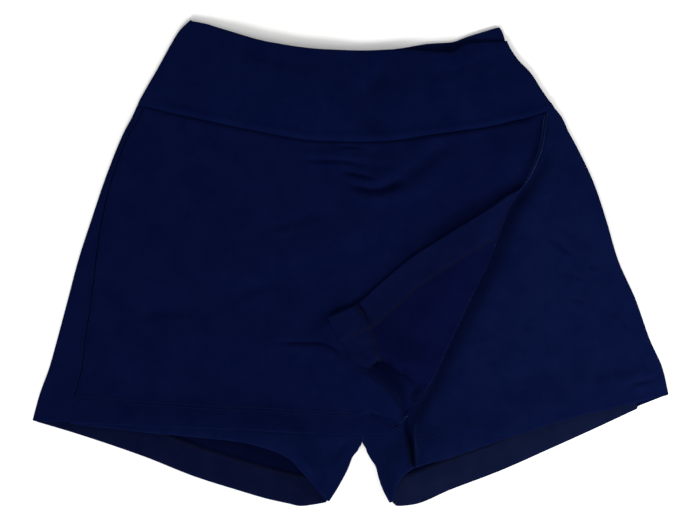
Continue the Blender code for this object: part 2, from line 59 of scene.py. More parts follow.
MM = 0.001
CENTRE = (0.0, -0.15, 0.0)  # of the laid garment's box on the surface, in the frame of the tables
INWARDS = {"left": 1, "right": -1}  # from each side of the garment, along x

# Cloth, in millimetres
CLOTH = 1.3
BAND_CLOTH = 2.0
HEM_EXTRA = 0.9
HEM_DEPTH = 23.0
HEM_STEP = 0.004
SIDE_HEM_DEPTH = 22.0
SEAM_GAP = 0.1
LAYER_GAP = 0.5
EDGE_INSET = 1.0  # the rounded rim of a cloth stands this far past its last points
ROLL_REACH = 1.8  # cloth that rolls down over an inner edge reaches this far out
BACK_INSET = 3.4
BACK_LENGTH, RIGHT_LEG_LENGTH, FLAP_LENGTH = 280.0, 262.0, 280.0

# The right and left edges of the laid garment at levels from the waist down, and how far inside each edge
# the side seam lies: on the front at the left, on the underside at the right.
SECTIONS = table(
    "level left left_seam right right_seam",
    (205, -137, 5, 124, 6), (195, -147, 5, 131, 6), (185, -153, 6, 134, 7), (172, -160, 6, 142, 7),
    (159, -167, 6, 154, 7), (145, -175, 6, 163, 7), (131, -182, 6, 173, 7), (122, -186, 6, 180, 7),
    (111, -192, 5, 185, 7), (100, -197, 5, 191, 8), (66, -210, 6, 207, 9), (36, -220, 9, 217, 11),
    (2, -231, 15, 227, 14), (-32, -240, 20, 242, 18), (-66, -249, 24, 254, 22),
    (-91, -256, 28, 265, 26), (-113, -264, 30, 270, 28), (-135, -270, 31, 275, 31),
)

# Upper edge of the front and back of the waistband, and the seam under it
WAIST_TOP = table(
    "x front back",
    (-137, 205, 204), (-124, 203, 202), (-111, 199, 198), (-68, 187, 186), (-22, 181, 180),
    (12, 180, 179), (42, 181, 182), (68, 179, 186), (85, 178, 187), (100, 186, 192),
    (127, 188, 200),
)
SPOT = "x y"
WAIST_SEAM = table(
    SPOT,
    (-182, 132), (-145, 125), (-94, 114), (-26, 103), (12, 102), (76, 108), (144, 120), (174, 129),
)

# Leg openings: the hem of the front lies above the hem of the back
HEM_POINT = "x front back"
LEFT_HEM = table(
    HEM_POINT,
    (-270, -135, -135), (-234, -137, -145), (-175, -144, -165), (-132, -148, -182),
    (-94, -152, -194), (-70, -158, -201), (-52, -166, -205), (-42, -176, -207), (-33, -186, -206),
    (-18, -202, -204),
)
RIGHT_HEM = table(
    HEM_POINT,
    (33, -203, -204), (40, -187, -207), (52, -175, -206), (85, -165, -193), (127, -151, -177),
    (170, -137, -158), (212, -126, -139), (246, -118, -122), (270, -113, -113),
)
RIGHT_BACK_CORNER = (243.0, -123.5)
SIDE_DROP = 10.0  # the hem slants down from the right side to the seam on the underside
# The gap between the legs
INNER_LEGS = table(
    "level left right",
    (-153, 9, 11), (-158, 7, 13), (-165, 1, 17), (-173, -2, 22), (-181, -6, 24), (-190, -11, 27),
    (-203, -17, 32),
)
CENTRE_X = 12
CROTCH_X = 10

# Lower edge of the flap, from the side seam to the turned corner
FLAP_HEM = table(
    SPOT,
    (-239, -136), (-170, -139), (-85, -142), (-10, -146), (22, -146), (36, -144),
)
# The corner of the flap that is turned back over it: the line it turns about, and the cloth past that line,
# which ends at the edge point once it is turned right over. Width is that cloth's width while it still turns.
TURNS = table(
    "down axis_x axis_y edge_x edge_y width angle radius",
    (0.000, 165, 126, 0, 0, 2, 0, 1.2),
    (0.092, 161, 99, 0, 0, 2, 0, 1.2),
    (0.143, 155.5, 84, 0, 0, 2, 5, 1.2),
    (0.194, 148.5, 70.5, 149, 70, 2, 40, 1.2),
    (0.230, 142, 61, 141, 62.5, 3, 120, 1.2),
    (0.265, 134.5, 50, 131, 54.5, 7.5, 172, 1.3),
    (0.329, 127.5, 33, 121, 47, 17, 180, 1.6),
    (0.439, 116, 3, 84, 24, 42, 180, 1.7),
    (0.570, 99.5, -31, 50, 2, 62, 180, 1.7),
    (0.712, 81.5, -69, 25, -19, 77, 180, 1.7),
    (0.842, 64.5, -103, 4, -37, 91, 180, 1.8),
    (0.935, 52, -123, -8, -42, 108, 180, 1.6),
    (1.000, 37, -139, -18, -47, 120, 180, 2.0),
)
# The lower edge of the turned corner, from its roll to its point
CORNER_HEM = table(
    SPOT,
    (37, -139), (41, -132), (40, -123), (34, -112), (27, -105), (17, -96), (0, -80), (-8, -67),
    (-18, -47),
)
CORNER_HEM_FROM = 0.80  # down the flap, where rows begin to bend towards that edge
# Where the raw edges of the hems turned up inside it lie
CORNER_HEM_INSIDE = table(
    SPOT,
    (-2, -30), (4, -36), (15, -51), (21, -70), (25, -83), (32, -94), (52, -112),
)
EAR_LIFT, EAR_SETTLE = 2.6, 13.0  # the turned cloth settles from its roll to this height, over this distance
EAR_PUFF, EAR_SHOULDER = 4.6, 11.0  # the turned cloth swells up from its roll
# How far the free edge of the turned cloth stands up, down the flap
EDGE_LIFTS = table(
    "down lift",
    (0.00, 0.6), (0.05, 3.2), (0.14, 3.6), (0.20, 2.4), (0.265, 1.2), (0.33, 0.8), (0.44, 0.4),
    (0.57, 0.2), (0.71, 0.0), (0.80, 0.2), (0.90, 0.8), (1.00, 1.0),
)
# The lower edge of the turned corner as it stands beside its roll: how high over the surface
CORNER_HEM_RISE = table(
    "share height",
    (0.00, 7.5), (0.06, 11.5), (0.12, 16.5), (0.20, 20.5), (0.27, 21.5), (0.34, 21.0), (0.44, 20.0),
    (0.56, 17.0), (0.70, 13.2), (0.85, 11.4), (1.00, 10.6),
)
WALL_FROM = 0.935  # down the flap, rows past this stand up into that edge
WALL_LEAN = (12.0, 9.0)  # how rows further up the flap lean off that edge, in plan
# Soft mounds of the body of the garment, shared by every layer of its front
FOLD = "x y half_length half_width angle height"
MOUNDS = table(
    FOLD,
    (-110, 20, 150, 90, 80, 3.4), (-80, -110, 120, 60, -5, 2.4), (150, -60, 120, 70, -60, 3.2),
    (60, 80, 110, 60, 0, 2.6), (-75, 150, 80, 44, -12, 3.6), (92, 148, 66, 44, 12, 3.6),
)
BAND_FOLDS = table(
    FOLD,
    (-26, 150, 36, 17, 78, 2.2), (46, 145, 34, 15, 95, 2.4), (82, 172, 26, 10, 4, 2.6),
)
FLAP_FOLDS = table(
    FOLD,
    (50, 84, 60, 14, 35, 3.0), (25, 72, 34, 8, 8, 2.0), (-5, 89, 40, 5, -4, 1.4),
    (30, 45, 80, 16, 34, 2.0), (-40, 10, 90, 16, 12, 1.6), (-10, -80, 45, 12, -12, 2.4),
    (-120, -60, 80, 18, 8, 1.4), (133, 92, 34, 12, 70, 2.8),
)
LEG_FOLDS = table(
    FOLD,
    (190, 15, 24, 6, -50, 1.6), (204, -12, 26, 5, -60, 1.6), (232, -55, 26, 6, -62, 1.8),
    (245, -96, 28, 6, 12, 1.6),
)
EAR_FOLDS = table(
    FOLD,
    (70, -34, 60, 12, 48, 0.8), (46, -85, 26, 14, -38, 6.5),
)
# The body rises in a ridge under the free edge of the turned cloth
EDGE_RIDGE = table(
    "x y height",
    (166, 120, 0.0), (162.5, 102, 1.6), (157, 85, 2.8), (150, 70, 3.4), (142, 61, 3.6),
    (131, 54, 3.8), (119, 46, 4.2), (84, 24, 4.2), (50, 2, 2.6), (25, -18, 1.0), (4, -33, 0.6),
    (-18, -47, 0.0),
)
RIDGE_OUTSIDE, RIDGE_INSIDE = 8.0, 22.0  # its half widths beyond that edge and under the cloth
# The leg swells up beyond the roll of the turned corner, and a deep fold runs from there down to the hem.
# Right and left are the heights of the cloth on either side of that line, and down is the depth of the line.
LEG_LINE = table(
    "x y right left down",
    (168, 118, 0.0, 0, 0.0), (165, 102, 1.4, 0, 1.6), (159, 84, 3.4, 0, 2.6),
    (150, 67, 5.4, 0, 3.2), (137.5, 50, 6.6, 0, 3.4), (130, 32, 7.0, 0, 3.4),
    (118.5, 2, 6.8, 0, 3.2), (102, -32, 6.8, 0, 3.0), (83.5, -70, 7.0, 0, 3.0),
    (66, -105, 7.4, 0, 3.0), (57, -121, 7.6, 0, 2.8), (52, -130, 7.8, 4.0, 7.0),
    (50, -140, 7.8, 6.5, 9.0), (52, -156, 7.8, 6.5, 9.0), (54, -172, 6.4, 4.6, 8.0),
    (56, -186, 3.0, 2.0, 0.0),
)
# How soon the cloth has risen beside that line, how far the swell reaches, and half the widths of the dip
LINE_RIGHT, LINE_RIGHT_REACH = 6.5, 70.0
LINE_LEFT, LINE_LEFT_REACH = 4.5, 24.0
LINE_DEEP_WIDTH, LINE_WIDE_WIDTH = 4.2, 10.0
# The hollow between the standing hem of the turned corner and its roll
HOLLOW = table(
    SPOT,
    (26, -93), (36, -100), (46, -106), (52, -113), (51, -122), (48, -129),
)
HOLLOW_WIDTH, HOLLOW_TOP = 11.5, 4.8
PAINTED_SHADE_LAYERS = -0.2  # stands in for a number of hem layers: it thins the cloth a little and marks the cloth down in that hollow and at the roll's end, which take the darker cloth as painted shade
# The body of the flap swells up to the lower edge of the turned corner
SWELL_WIDTH, SWELL_UNDER = 20.0, 2.6
CORNER_END = ((-80, -84), (-18, -47), (10, -28), (50, 2))  # past here the body stays low
EMBED = 0.6  # past its first bend the body laps this far over the rim of that edge
EDGE_RISE = 48.0  # the front reaches its full height this far in from the sides
# How far the hems of the legs gape, and how far up the leg this reaches
HEM_LIFTS = table(
    "x lift",
    (-270, 0.0), (-235, 1.5), (-190, 4.2), (-130, 6.8), (-80, 8.6), (-45, 9.6), (-22, 7.0),
    (10, 4.0), (34, 10.5), (48, 11.0), (70, 8.4), (110, 5.6), (170, 3.6), (225, 1.8), (270, 0.0),
)
HEM_LIFT_REACH = 50.0
FLAP_HEM_LIFT = 2.0
FLAT_LOFT = 0.4  # of the front, where no mound lifts it
EDGE_FADE = 14.0  # folds die out over this distance from the sides

# Creases: a trough along a path, with a ridge beside it (ridge_at is positive on the path's left)
CREASE = "path depth width ridge ridge_at ridge_width"
BAND_CREASES = table(
    CREASE,
    (((34, 172), (22, 156), (15, 142), (17, 124), (28, 104)), 3.6, 9.0, 0.8, -16, 8),
    (((-5, 166), (-3, 154), (1, 142)), 0.9, 3.5, 0.4, -6, 4),
    (((-110, 186), (-60, 170), (-20, 163)), 0.6, 6.0, 0.4, -9, 6),
    (((60, 160), (95, 165), (130, 176)), 0.7, 6.0, 0.4, -9, 6),
)
FLAP_CREASES = table(
    CREASE,
    (((-14, 97), (0, 97), (14, 95)), 0.9, 1.6, 0.5, -3, 2),
    (((-46, 86), (-13, 86), (21, 81)), 1.5, 2.4, 1.0, -5, 3),
    (((-8, 77), (8, 73), (26, 69)), 1.5, 2.4, 0.9, -4, 2.5),
    (((-4, 70), (8, 63), (22, 61), (34, 65), (47, 74)), 3.4, 3.6, 1.6, -8, 5),
    (((16, 60), (34, 65), (56, 80), (72, 94), (94, 106)), 3.6, 7.5, 1.4, -14, 8),
    (((-76, 25), (-46, 35), (-18, 43)), 0.9, 4.5, 0.6, -8, 5),
    (((-14, 24), (-2, 29), (14, 37)), 0.6, 3.5, 0.4, -6, 4),
    (((-47, -12), (-33, -9), (-18, -5)), 0.6, 3.5, 0.4, -6, 4),
    (((-112, -35), (-85, -24), (-52, -13)), 1.0, 5.5, 0.7, -9, 6),
    (((-190, -46), (-160, -43), (-126, -38)), 0.8, 5.5, 0.6, -9, 6),
    (((-68, -68), (-43, -69), (-26, -69), (-14, -74), (0, -83)), 1.7, 1.5, 1.0, -4, 4),
    (((-24, -69), (-12, -75), (4, -87), (20, -98)), 2.0, 5.5, 0.6, -9, 5),
    (((156, 92), (142, 74), (126, 60), (106, 46), (86, 34)), 2.0, 12.0, 0.0, 18, 10),
)
EAR_CREASES = table(
    CREASE,
    (((0, -28), (8, -39), (18, -55)), 3.4, 2.0, 0.5, -4, 2),
    (((60, 30), (78, -2), (84, -30)), 0.7, 7.0, 0.4, 12, 8),
)
LEG_CREASES = table(
    CREASE,
    (((168, 22), (180, 12), (193, 3)), 1.2, 2.4, 0.8, -5, 3.5),
    (((184, -10), (192, -13), (201, -16)), 0.9, 2.0, 0.5, -4, 3),
    (((200, -4), (206, -5), (213, -6)), 0.9, 2.0, 0.5, -4, 3),
    (((218, 3), (221, -4), (223, -11)), 0.9, 2.0, 0.5, -4, 3),
    (((224, -14), (228, -22), (232, -31)), 1.1, 2.0, 0.6, -4, 3),
    (((220, -39), (230, -50), (241, -61)), 1.2, 2.2, 0.8, -4, 3.5),
    (((186, -31), (193, -33), (201, -35)), 0.8, 2.0, 0.5, -4, 3),
    (((234, -104), (248, -102), (264, -98)), 1.8, 2.2, 0.9, -5, 4),
)
LEFT_LEG_CREASES = table(
    CREASE,
    (((-2, -150), (-8, -158), (-18, -172)), 1.4, 3.0, 0.6, 6, 4),
    (((-52, -166), (-40, -176), (-30, -190)), 1.0, 3.0, 0.6, 6, 4),
)
SEAM_GROOVE, SEAM_WIDTH, SEAM_SHIFT = 1.6, 1.7, 0.3
SEAM_RIDGE, SEAM_RIDGE_AT, SEAM_RIDGE_WIDTH = 0.6, 5.0, 2.6
SIDE_GROOVE, SIDE_WIDTH = 0.4, 1.3
CREASE_SHIFT = 1.2  # each crease lies this far above its path

# Levels of the layers, in millimetres over the surface
FRONT_TOP = CLOTH + LAYER_GAP + CLOTH
FLAP_TOP = FRONT_TOP + LAYER_GAP + CLOTH
BAND_TOP = BAND_CLOTH + LAYER_GAP + BAND_CLOTH
LEAST_FRONT = 2 * CLOTH + HEM_EXTRA
LEAST_FLAP = LEAST_FRONT + CLOTH + 0.4
LEAST_BAND = 2 * BAND_CLOTH + 0.2

# Columns and rows of points
BACK_COLUMNS, FLAP_COLUMNS = 130, 160
ROLL_COLUMNS, EAR_COLUMNS = 11, 75  # of the turned corner
SIDE_ROLL_COLUMNS = 9
RIM_STEPS = 5
RIGHT_STITCHED = 75  # the columns of the right leg along which its hem stitches show
SIDE_BINDING_ROWS = (60, 134)

# Thread, in millimetres
STITCH_LENGTH, STITCH_PITCH, STITCH_THICK = 2.4, 3.0, 0.34
FIRST_ROW, ROWS_APART = 0.4, 3.0
SERGE_PITCH, SERGE_REACH, SERGE_THICK = 1.3, 4.2, 0.36
THREAD_SIDES = 6
THREAD_RINGS = table(
    "share lift arch swell",
    (0, -0.5, 0, 0.6), (0.25, 0.35, 0.8, 1), (0.5, 0.5, 1, 1), (0.75, 0.35, 0.8, 1), (1, -0.5, 0, 0.6),
)

# The pieces in the order they are made, and what each was cut to, in metres, with its hems turned up
CUTS = table(
    "node slot width length area rests_on",
    ("waistband_back", "waistband_inside", 0.36, 0.13, 0.0246, []),
    ("waistband_front", "waistband", 0.37, 0.13, 0.0262, ["waistband_back"]),
    ("back_left", "leg_back", 0.33, 0.36, 0.079, []),
    ("back_right", "leg_back", 0.25, 0.36, 0.061, []),
    ("front_left", "leg", 0.27, 0.35, 0.062, ["back_left"]),
    ("front_right", "leg", 0.32, 0.35, 0.066, ["back_right"]),
    ("front_flap", "flap", 0.43, 0.30, 0.102, ["front_left", "front_right"]),
)

NAVY = (0.0013, 0.0029, 0.0209)
# lighter than the flap's cloth: painted light that stands in for the brighter light on the right leg (also
# used for the band's inside)
NAVY_LEG_WITH_PAINTED_LIGHT = (0.0016, 0.0036, 0.0235)
NAVY_BAND = (0.0013, 0.0031, 0.0222)
NAVY_WRONG = (0.0013, 0.0024, 0.0188)  # the wrong side of the cloth
NAVY_HEM = (0.0015, 0.0031, 0.0206)  # the right side of it where a hem is turned up
# the wrong side made darker still as painted shade: inside the backs seen through the leg openings, and down
# in the flap's hollow
NAVY_INSIDE_PAINTED_SHADE = (0.0010, 0.0020, 0.0136)
# one hem cloth in two copies: darker as painted shade in the left opening, lighter and greyer as painted
# light in the right
NAVY_LEFT_HEM_PAINTED_SHADE = (0.0020, 0.0033, 0.0172)
NAVY_RIGHT_HEM_PAINTED_LIGHT = (0.0031, 0.0053, 0.0213)
THREAD = (0.0028, 0.0056, 0.030)
SERGE_THREAD = (0.0036, 0.0048, 0.0205)
SHEEN, SHEEN_TINT = 0.12, (0.2, 0.4, 1.0, 1.0)
MOTTLE = ((0.45, (0.7, 0.8, 0.86)), (0.98, (1.4, 1.25, 1.16)))  # shades of a cloth's colour, dark to light

# The photograph's frame
PHOTO_WIDTH = 700
MM_PER_PIXEL = 0.85
CAMERA_AT = (-0.425, -0.425)
CAMERA_HEIGHT = 3.0  # metres
KEY_AT, KEY_SIZE, KEY_WATTS = (-0.86, -2.15, 1.57), 1.2, 78.0  # metres
FILL_AT, FILL_SIZE, FILL_WATTS = (0.62, -0.16, 0.30), 0.30, 2.9
SKY = 0.70
SENSOR = 36.0


# Tables and lines


def column(rows, name):
    return np.array([getattr(row, name) for row in rows], float)


def points_of(rows, x="x", y="y"):
    return np.stack([column(rows, x), column(rows, y)], axis=1)


def curve(at, xs, ys):
    """A smooth curve through points with rising xs that never swings past them, read at some places."""
    rates = np.diff(ys) / np.diff(xs)
    before, after = rates[:-1], rates[1:]
    same_way = before * after > 0
    mean = 2 * before * after / np.where(same_way, before + after, 1.0)
    slopes = np.concatenate([rates[:1], np.where(same_way, mean, 0.0), rates[-1:]])
    row = np.clip(np.searchsorted(xs, at, side="right") - 1, 0, len(rates) - 1)
    width = np.diff(xs)[row]
    t = (at - xs[row]) / width
    return (
        (2 * t**3 - 3 * t**2 + 1) * ys[row]
        + (t**3 - 2 * t**2 + t) * width * slopes[row]
        + (3 * t**2 - 2 * t**3) * ys[row + 1]
        + (t**3 - t**2) * width * slopes[row + 1]
    )


def read(rows, name, along, at):
    """One column of a table, read at some values of the column that it runs along."""
    return curve(np.asarray(at, float), column(rows, along), column(rows, name))


def at_level(name, level):
    """A column of the sections, read at some levels."""
    return read(SECTIONS[::-1], name, "level", level)


def at_seam(x):
    """The level of the seam under the waistband."""
    return read(WAIST_SEAM, "y", "x", x)


def side_line(side, inset, top, bottom, steps=60):
    """Points down one side of the garment, a distance inside its edge."""
    levels = np.linspace(top, bottom, steps)
    return np.stack([at_level(side, levels) + INWARDS[side] * inset, levels], axis=1)


def side_seam_line(side, gap, top, bottom, steps=60):
    """Points down a side seam; gap is away from the side."""
    seam = at_level(side + "_seam", np.linspace(top, bottom, steps))
    return side_line(side, seam + gap, top, bottom, steps)


def seam_line(x_from, x_to, gap, steps=60):
    """Points along the seam under the waistband; gap is upwards."""
    x = np.linspace(x_from, x_to, steps)
    return np.stack([x, at_seam(x) + gap], axis=1)


def seam_end(side, inset):
    """Where a line inside one side of the garment meets the seam under the waistband."""
    x = WAIST_SEAM[0 if side == "left" else -1].x
    for _ in range(4):
        x = at_level(side, at_seam(x)) + INWARDS[side] * inset
    return x


def inner_edge(side, inset, centre_inset, foot):
    """The centre line of a leg piece from the waist, then the inner edge of the leg down to its hem."""
    outwards = -INWARDS[side]
    leg = points_of(INNER_LEGS, side, "level")[1:-1]
    leg[:, 0] += outwards * inset
    top = [CENTRE_X + outwards * centre_inset, at_seam(CENTRE_X) - SEAM_GAP / 2]
    crotch = [CROTCH_X + outwards * centre_inset, INNER_LEGS[0].level + inset]
    return np.vstack([np.linspace(top, crotch, 12), leg, [foot]])


def reach_along(line):
    """How far along a line each of its points lies."""
    return np.concatenate([[0.0], np.cumsum(np.linalg.norm(np.diff(line, axis=0), axis=1))])


def spread(line, fractions):
    """Points at fractions of a line's length, on a smooth curve through its points."""
    reach = reach_along(line)
    at = np.asarray(fractions) * reach[-1]
    return np.stack([curve(at, reach, line[:, 0]), curve(at, reach, line[:, 1])], axis=1)


def smooth_line(rows, steps, x="x", y="y"):
    """Evenly spread points on a smooth curve through the points of a table."""
    return spread(points_of(rows, x, y), np.linspace(0, 1, steps))


def patch(top, bottom, left, right, across, down):
    """Plan points of a panel from its four edges (a Coons patch): rows go down, columns across."""
    u = np.asarray(across)[None, :, None]
    v = np.asarray(down)[:, None, None]
    head, foot = spread(top, across)[None], spread(bottom, across)[None]
    near, far = spread(left, down)[:, None], spread(right, down)[:, None]
    near = near + (1 - v) * (head[:, :1] - near[:1]) + v * (foot[:, :1] - near[-1:])
    far = far + (1 - v) * (head[:, -1:] - far[:1]) + v * (foot[:, -1:] - far[-1:])
    corners = (
        (1 - u) * (1 - v) * head[:, :1]
        + u * (1 - v) * head[:, -1:]
        + (1 - u) * v * foot[:, :1]
        + u * v * foot[:, -1:]
    )
    return (1 - v) * head + v * foot + (1 - u) * near + u * far - corners


# Heights


def smooth_step(value):
    t = np.clip(value, 0.0, 1.0)
    return t * t * (3 - 2 * t)


def ramp(value, start, length):
    """Rises softly from 0 to 1 from a start over a length."""
    return smooth_step((value - start) / length)


def beside_path(path, x, y):
    """How far points lie from a path in plan, positive on its left, and their share along it."""
    nearest = np.full(np.shape(x), np.inf)
    beside, share = np.zeros(np.shape(x)), np.zeros(np.shape(x))
    count = len(path) - 1
    for i, ((ax, ay), (bx, by)) in enumerate(zip(path[:-1], path[1:])):
        dx, dy = bx - ax, by - ay
        t = np.clip(((x - ax) * dx + (y - ay) * dy) / (dx * dx + dy * dy), 0, 1)
        off_x, off_y = x - ax - t * dx, y - ay - t * dy
        distance = np.hypot(off_x, off_y)
        closer = distance < nearest
        nearest = np.where(closer, distance, nearest)
        beside = np.where(closer, np.where(dx * off_y - dy * off_x < 0, -distance, distance), beside)
        share = np.where(closer, (i + t) / count, share)
    return beside, share


def distance_to(path, x, y):
    return abs(beside_path(path, x, y)[0])


def bell(value):
    return np.exp(-(value**2))


def folds_at(folds, x, y):
    """The height of a table of soft mounds or folds, each a bell along and across its own direction."""
    height = np.zeros(np.shape(x))
    for fold in folds:
        turn = math.radians(fold.angle)
        along = (x - fold.x) * math.cos(turn) + (y - fold.y) * math.sin(turn)
        beside = (y - fold.y) * math.cos(turn) - (x - fold.x) * math.sin(turn)
        height += fold.height * bell(along / fold.half_length) * bell(beside / fold.half_width)
    return height


def creases_at(creases, x, y):
    """The height of a table of creases, each dying out towards its ends."""
    height = np.zeros(np.shape(x))
    for crease in creases:
        path = spread(np.array(crease.path, float), np.linspace(0, 1, 5 * len(crease.path)))
        beside, share = beside_path(path, x, y - CREASE_SHIFT)
        ends = smooth_step(share / 0.3) * smooth_step((1 - share) / 0.3)
        trough = crease.depth * bell(beside / crease.width)
        ridge = crease.ridge * bell((beside - crease.ridge_at) / crease.ridge_width)
        height += ends * (ridge - trough)
    return height


def ripple(x, y):
    """The slight unevenness of cloth that has been worn and laid down."""
    return (
        0.16 * np.sin(x / 17 + 1.3 * np.sin(y / 31)) * np.sin(y / 23 + 0.8 * np.sin(x / 29))
        + 0.09 * np.sin(x / 7.1 + y / 11.3 + 1.7 * np.sin(y / 19)) * np.sin(y / 8.7 - x / 13.9)
        + 0.05 * np.sin(x / 3.3 - y / 5.1 + 2 * np.sin(x / 9.7)) * np.sin(y / 3.9 + x / 6.1)
    )


def away_from_sides(x, y):
    sides = [side_line(side, 0, SECTIONS[0].level, SECTIONS[-1].level, 24) for side in INWARDS]
    return np.min([distance_to(side, x, y) for side in sides], axis=0)


def loft(x, y):
    """How far the front stands over its level where it lies flat: nothing at the outer edges."""
    away = away_from_sides(x, y)
    inner = np.min([distance_to(points_of(INNER_LEGS, side, "level"), x, y) for side in INWARDS], axis=0)
    rise = smooth_step(away / EDGE_RISE) * (0.6 + 0.4 * smooth_step(inner / 20.0))
    hems = LEFT_HEM + RIGHT_HEM
    over_hem = y - np.interp(x, column(hems, "x"), column(hems, "front"))
    gape = read(HEM_LIFTS, "lift", "x", np.clip(x, HEM_LIFTS[0].x, HEM_LIFTS[-1].x))
    gape = gape * smooth_step(1 - over_hem / HEM_LIFT_REACH)
    sides = smooth_step(away / EDGE_FADE)
    return rise * (FLAT_LOFT + folds_at(MOUNDS, x, y)) + sides * (gape + ripple(x, y))


def edge_fade(x, y):
    """Folds die out towards the outer edges."""
    return smooth_step(away_from_sides(x, y) / EDGE_FADE)


def waist_groove(x, y):
    """Cloth dips into the seam under the waistband, with the allowances as a soft ridge above it."""
    above = y - at_seam(x) - SEAM_SHIFT
    ridge = SEAM_RIDGE * bell((above - SEAM_RIDGE_AT) / SEAM_RIDGE_WIDTH)
    return ridge - SEAM_GROOVE * bell(above / SEAM_WIDTH)


def side_groove(x, y):
    """Cloth dips into the left side seam, where the flap is sewn in."""
    seam = side_seam_line("left", 0, WAIST_SEAM[0].y, SECTIONS[-1].level, 40)
    fade = smooth_step((y - SECTIONS[-1].level) / 30.0)
    return -SIDE_GROOVE * bell(distance_to(seam, x, y) / SIDE_WIDTH) * fade


def beside_line(rows, steps, names, x, y):
    """How far points lie to the left of a table's line, and its named columns at the nearest places."""
    beside, share = beside_path(smooth_line(rows, steps), x, y)
    reach = reach_along(points_of(rows))
    reach = reach / reach[-1]
    return beside, [curve(share, reach, column(rows, name)) for name in names]


def beside_leg_line(x, y):
    """How far points lie to the viewer's right of the leg's line, and its right, left and down there."""
    return beside_line(LEG_LINE, 60, ("right", "left", "down"), x, y)


def beyond_turn(x, y):
    """1 to the right of the line that the corner turns about, 0 to its left."""
    beside, _ = beside_leg_line(x, y)
    return smooth_step((beside + 1.0) / 6.0)


def turn_trough(x, y):
    """Every layer dips along the roll of the turned corner."""
    beside, (_, _, down) = beside_leg_line(x, y)
    return -down * bell(beside / LINE_WIDE_WIDTH) * ramp(y, -128.0, 20.0)


def corner_swell(x, y):
    """The body of the flap swells up to the lower edge of the turned corner, and keeps low under it."""
    beside, share = beside_path(smooth_line(CORNER_HEM, 60), x, y)
    rise = read(CORNER_HEM_RISE, "height", "share", share) + EMBED * ramp(share, 0.4, 0.1)
    past_end, _ = beside_path(CORNER_END, x, y)
    swell = np.maximum(rise - (FLAP_TOP + loft(x, y)), 0) * smooth_step((7.0 - past_end) / 14.0)
    return swell * np.where(beside > 0, bell(beside / SWELL_WIDTH), bell(beside / SWELL_UNDER))


def edge_ridge(x, y):
    """The ridge of the body under the free edge of the turned cloth."""
    beside, (height,) = beside_line(EDGE_RIDGE, 40, ("height",), x, y)
    return height * np.where(beside > 0, bell(beside / RIDGE_INSIDE), bell(beside / RIDGE_OUTSIDE))


def flap_own(x, y):
    """The flap's own folds and creases."""
    folds = folds_at(FLAP_FOLDS, x, y) + creases_at(FLAP_CREASES, x, y)
    return edge_fade(x, y) * folds + turn_trough(x, y)


def front_top(x, y):
    under_flap = np.minimum(flap_own(x, y), 0) * (1 - beyond_turn(x, y))
    height = FRONT_TOP + loft(x, y) + under_flap + waist_groove(x, y) + creases_at(LEFT_LEG_CREASES, x, y)
    return np.maximum(height, LEAST_FRONT)


def leg_top(x, y):
    beside, (right, left, down) = beside_leg_line(x, y)
    swell = np.where(
        beside > 0,
        right * (1 - bell(beside / LINE_RIGHT)) * bell(beside / LINE_RIGHT_REACH),
        left * (1 - bell(beside / LINE_LEFT)) * bell(beside / LINE_LEFT_REACH),
    )
    deep = down * bell(beside / LINE_DEEP_WIDTH) * smooth_step((-y - 112.0) / 20.0)
    right_of = beyond_turn(x, y)
    own = (folds_at(LEG_FOLDS, x, y) + creases_at(LEG_CREASES, x, y)) * right_of + swell - deep
    height = front_top(x, y) + edge_fade(x, y) * own + turn_trough(x, y) * right_of
    return np.maximum(height, LEAST_FRONT)


def flap_top(x, y):
    hem_y = np.interp(x, column(FLAP_HEM, "x"), column(FLAP_HEM, "y"))
    gape = FLAP_HEM_LIFT * smooth_step(1 - (y - hem_y) / 30.0) * edge_fade(x, y)
    height = FLAP_TOP + loft(x, y) + flap_own(x, y) + waist_groove(x, y) + side_groove(x, y) + gape
    return np.maximum(height + edge_ridge(x, y), LEAST_FLAP) + corner_swell(x, y)


def band_top(x, y):
    own = edge_fade(x, y) * (folds_at(BAND_FOLDS, x, y) + creases_at(BAND_CREASES, x, y))
    return np.maximum(BAND_TOP + loft(x, y) + own + waist_groove(x, y), LEAST_BAND)


def laid(plan, top, thickness):
    """The middle of a cloth whose upper face follows a height."""
    x, y = plan[..., 0], plan[..., 1]
    return np.dstack([x, y, top(x, y) - thickness / 2])


def on_floor(plan, thickness):
    return np.dstack([plan, np.full(plan.shape[:2], thickness / 2)])


# Rows of points added beside a panel


def units(vectors):
    return vectors / np.linalg.norm(vectors, axis=-1, keepdims=True)


def outward(line, side):
    """Directions in plan that point out of a panel at the points down one of its edges."""
    down = units(np.gradient(line[:, :2], axis=0))
    across = np.stack([down[:, 1], -down[:, 0]], axis=1)
    return -across if side == "right" else across


def add_columns(grid, columns, side):
    """The grid with more columns of points beside it; columns are in order from its edge outwards."""
    more = np.stack(columns, axis=1)
    return np.concatenate([grid, more] if side == "right" else [more[:, ::-1], grid], axis=1)


def side_roll(edge, side, to_z):
    """Columns round a half circle from an edge to another height, ending right over or under the edge."""
    out, from_z = outward(edge, side), edge[:, 2]
    half = (from_z - to_z) / 2
    columns = []
    for angle in np.linspace(0, math.pi, SIDE_ROLL_COLUMNS + 1)[1:]:
        reach = np.minimum(np.abs(half)[:, None], ROLL_REACH) * math.sin(angle)
        height = (from_z + to_z) / 2 + half * math.cos(angle)
        columns.append(np.column_stack([edge[:, :2] + out * reach, height]))
    return columns


def with_roll(grid, side):
    """The grid rolled down over the edge of the cloth below it, except along the centre seam."""
    edge = grid[:, -1] if side == "right" else grid[:, 0]
    below = INNER_LEGS[0].level - edge[:, 1]
    free = np.where(abs(edge[:, 0] - CENTRE_X) < 7, smooth_step(below / 8.0), 1.0)
    low = edge[:, 2] + (CLOTH / 2 - edge[:, 2]) * free
    return add_columns(grid, side_roll(edge, side, low), side)


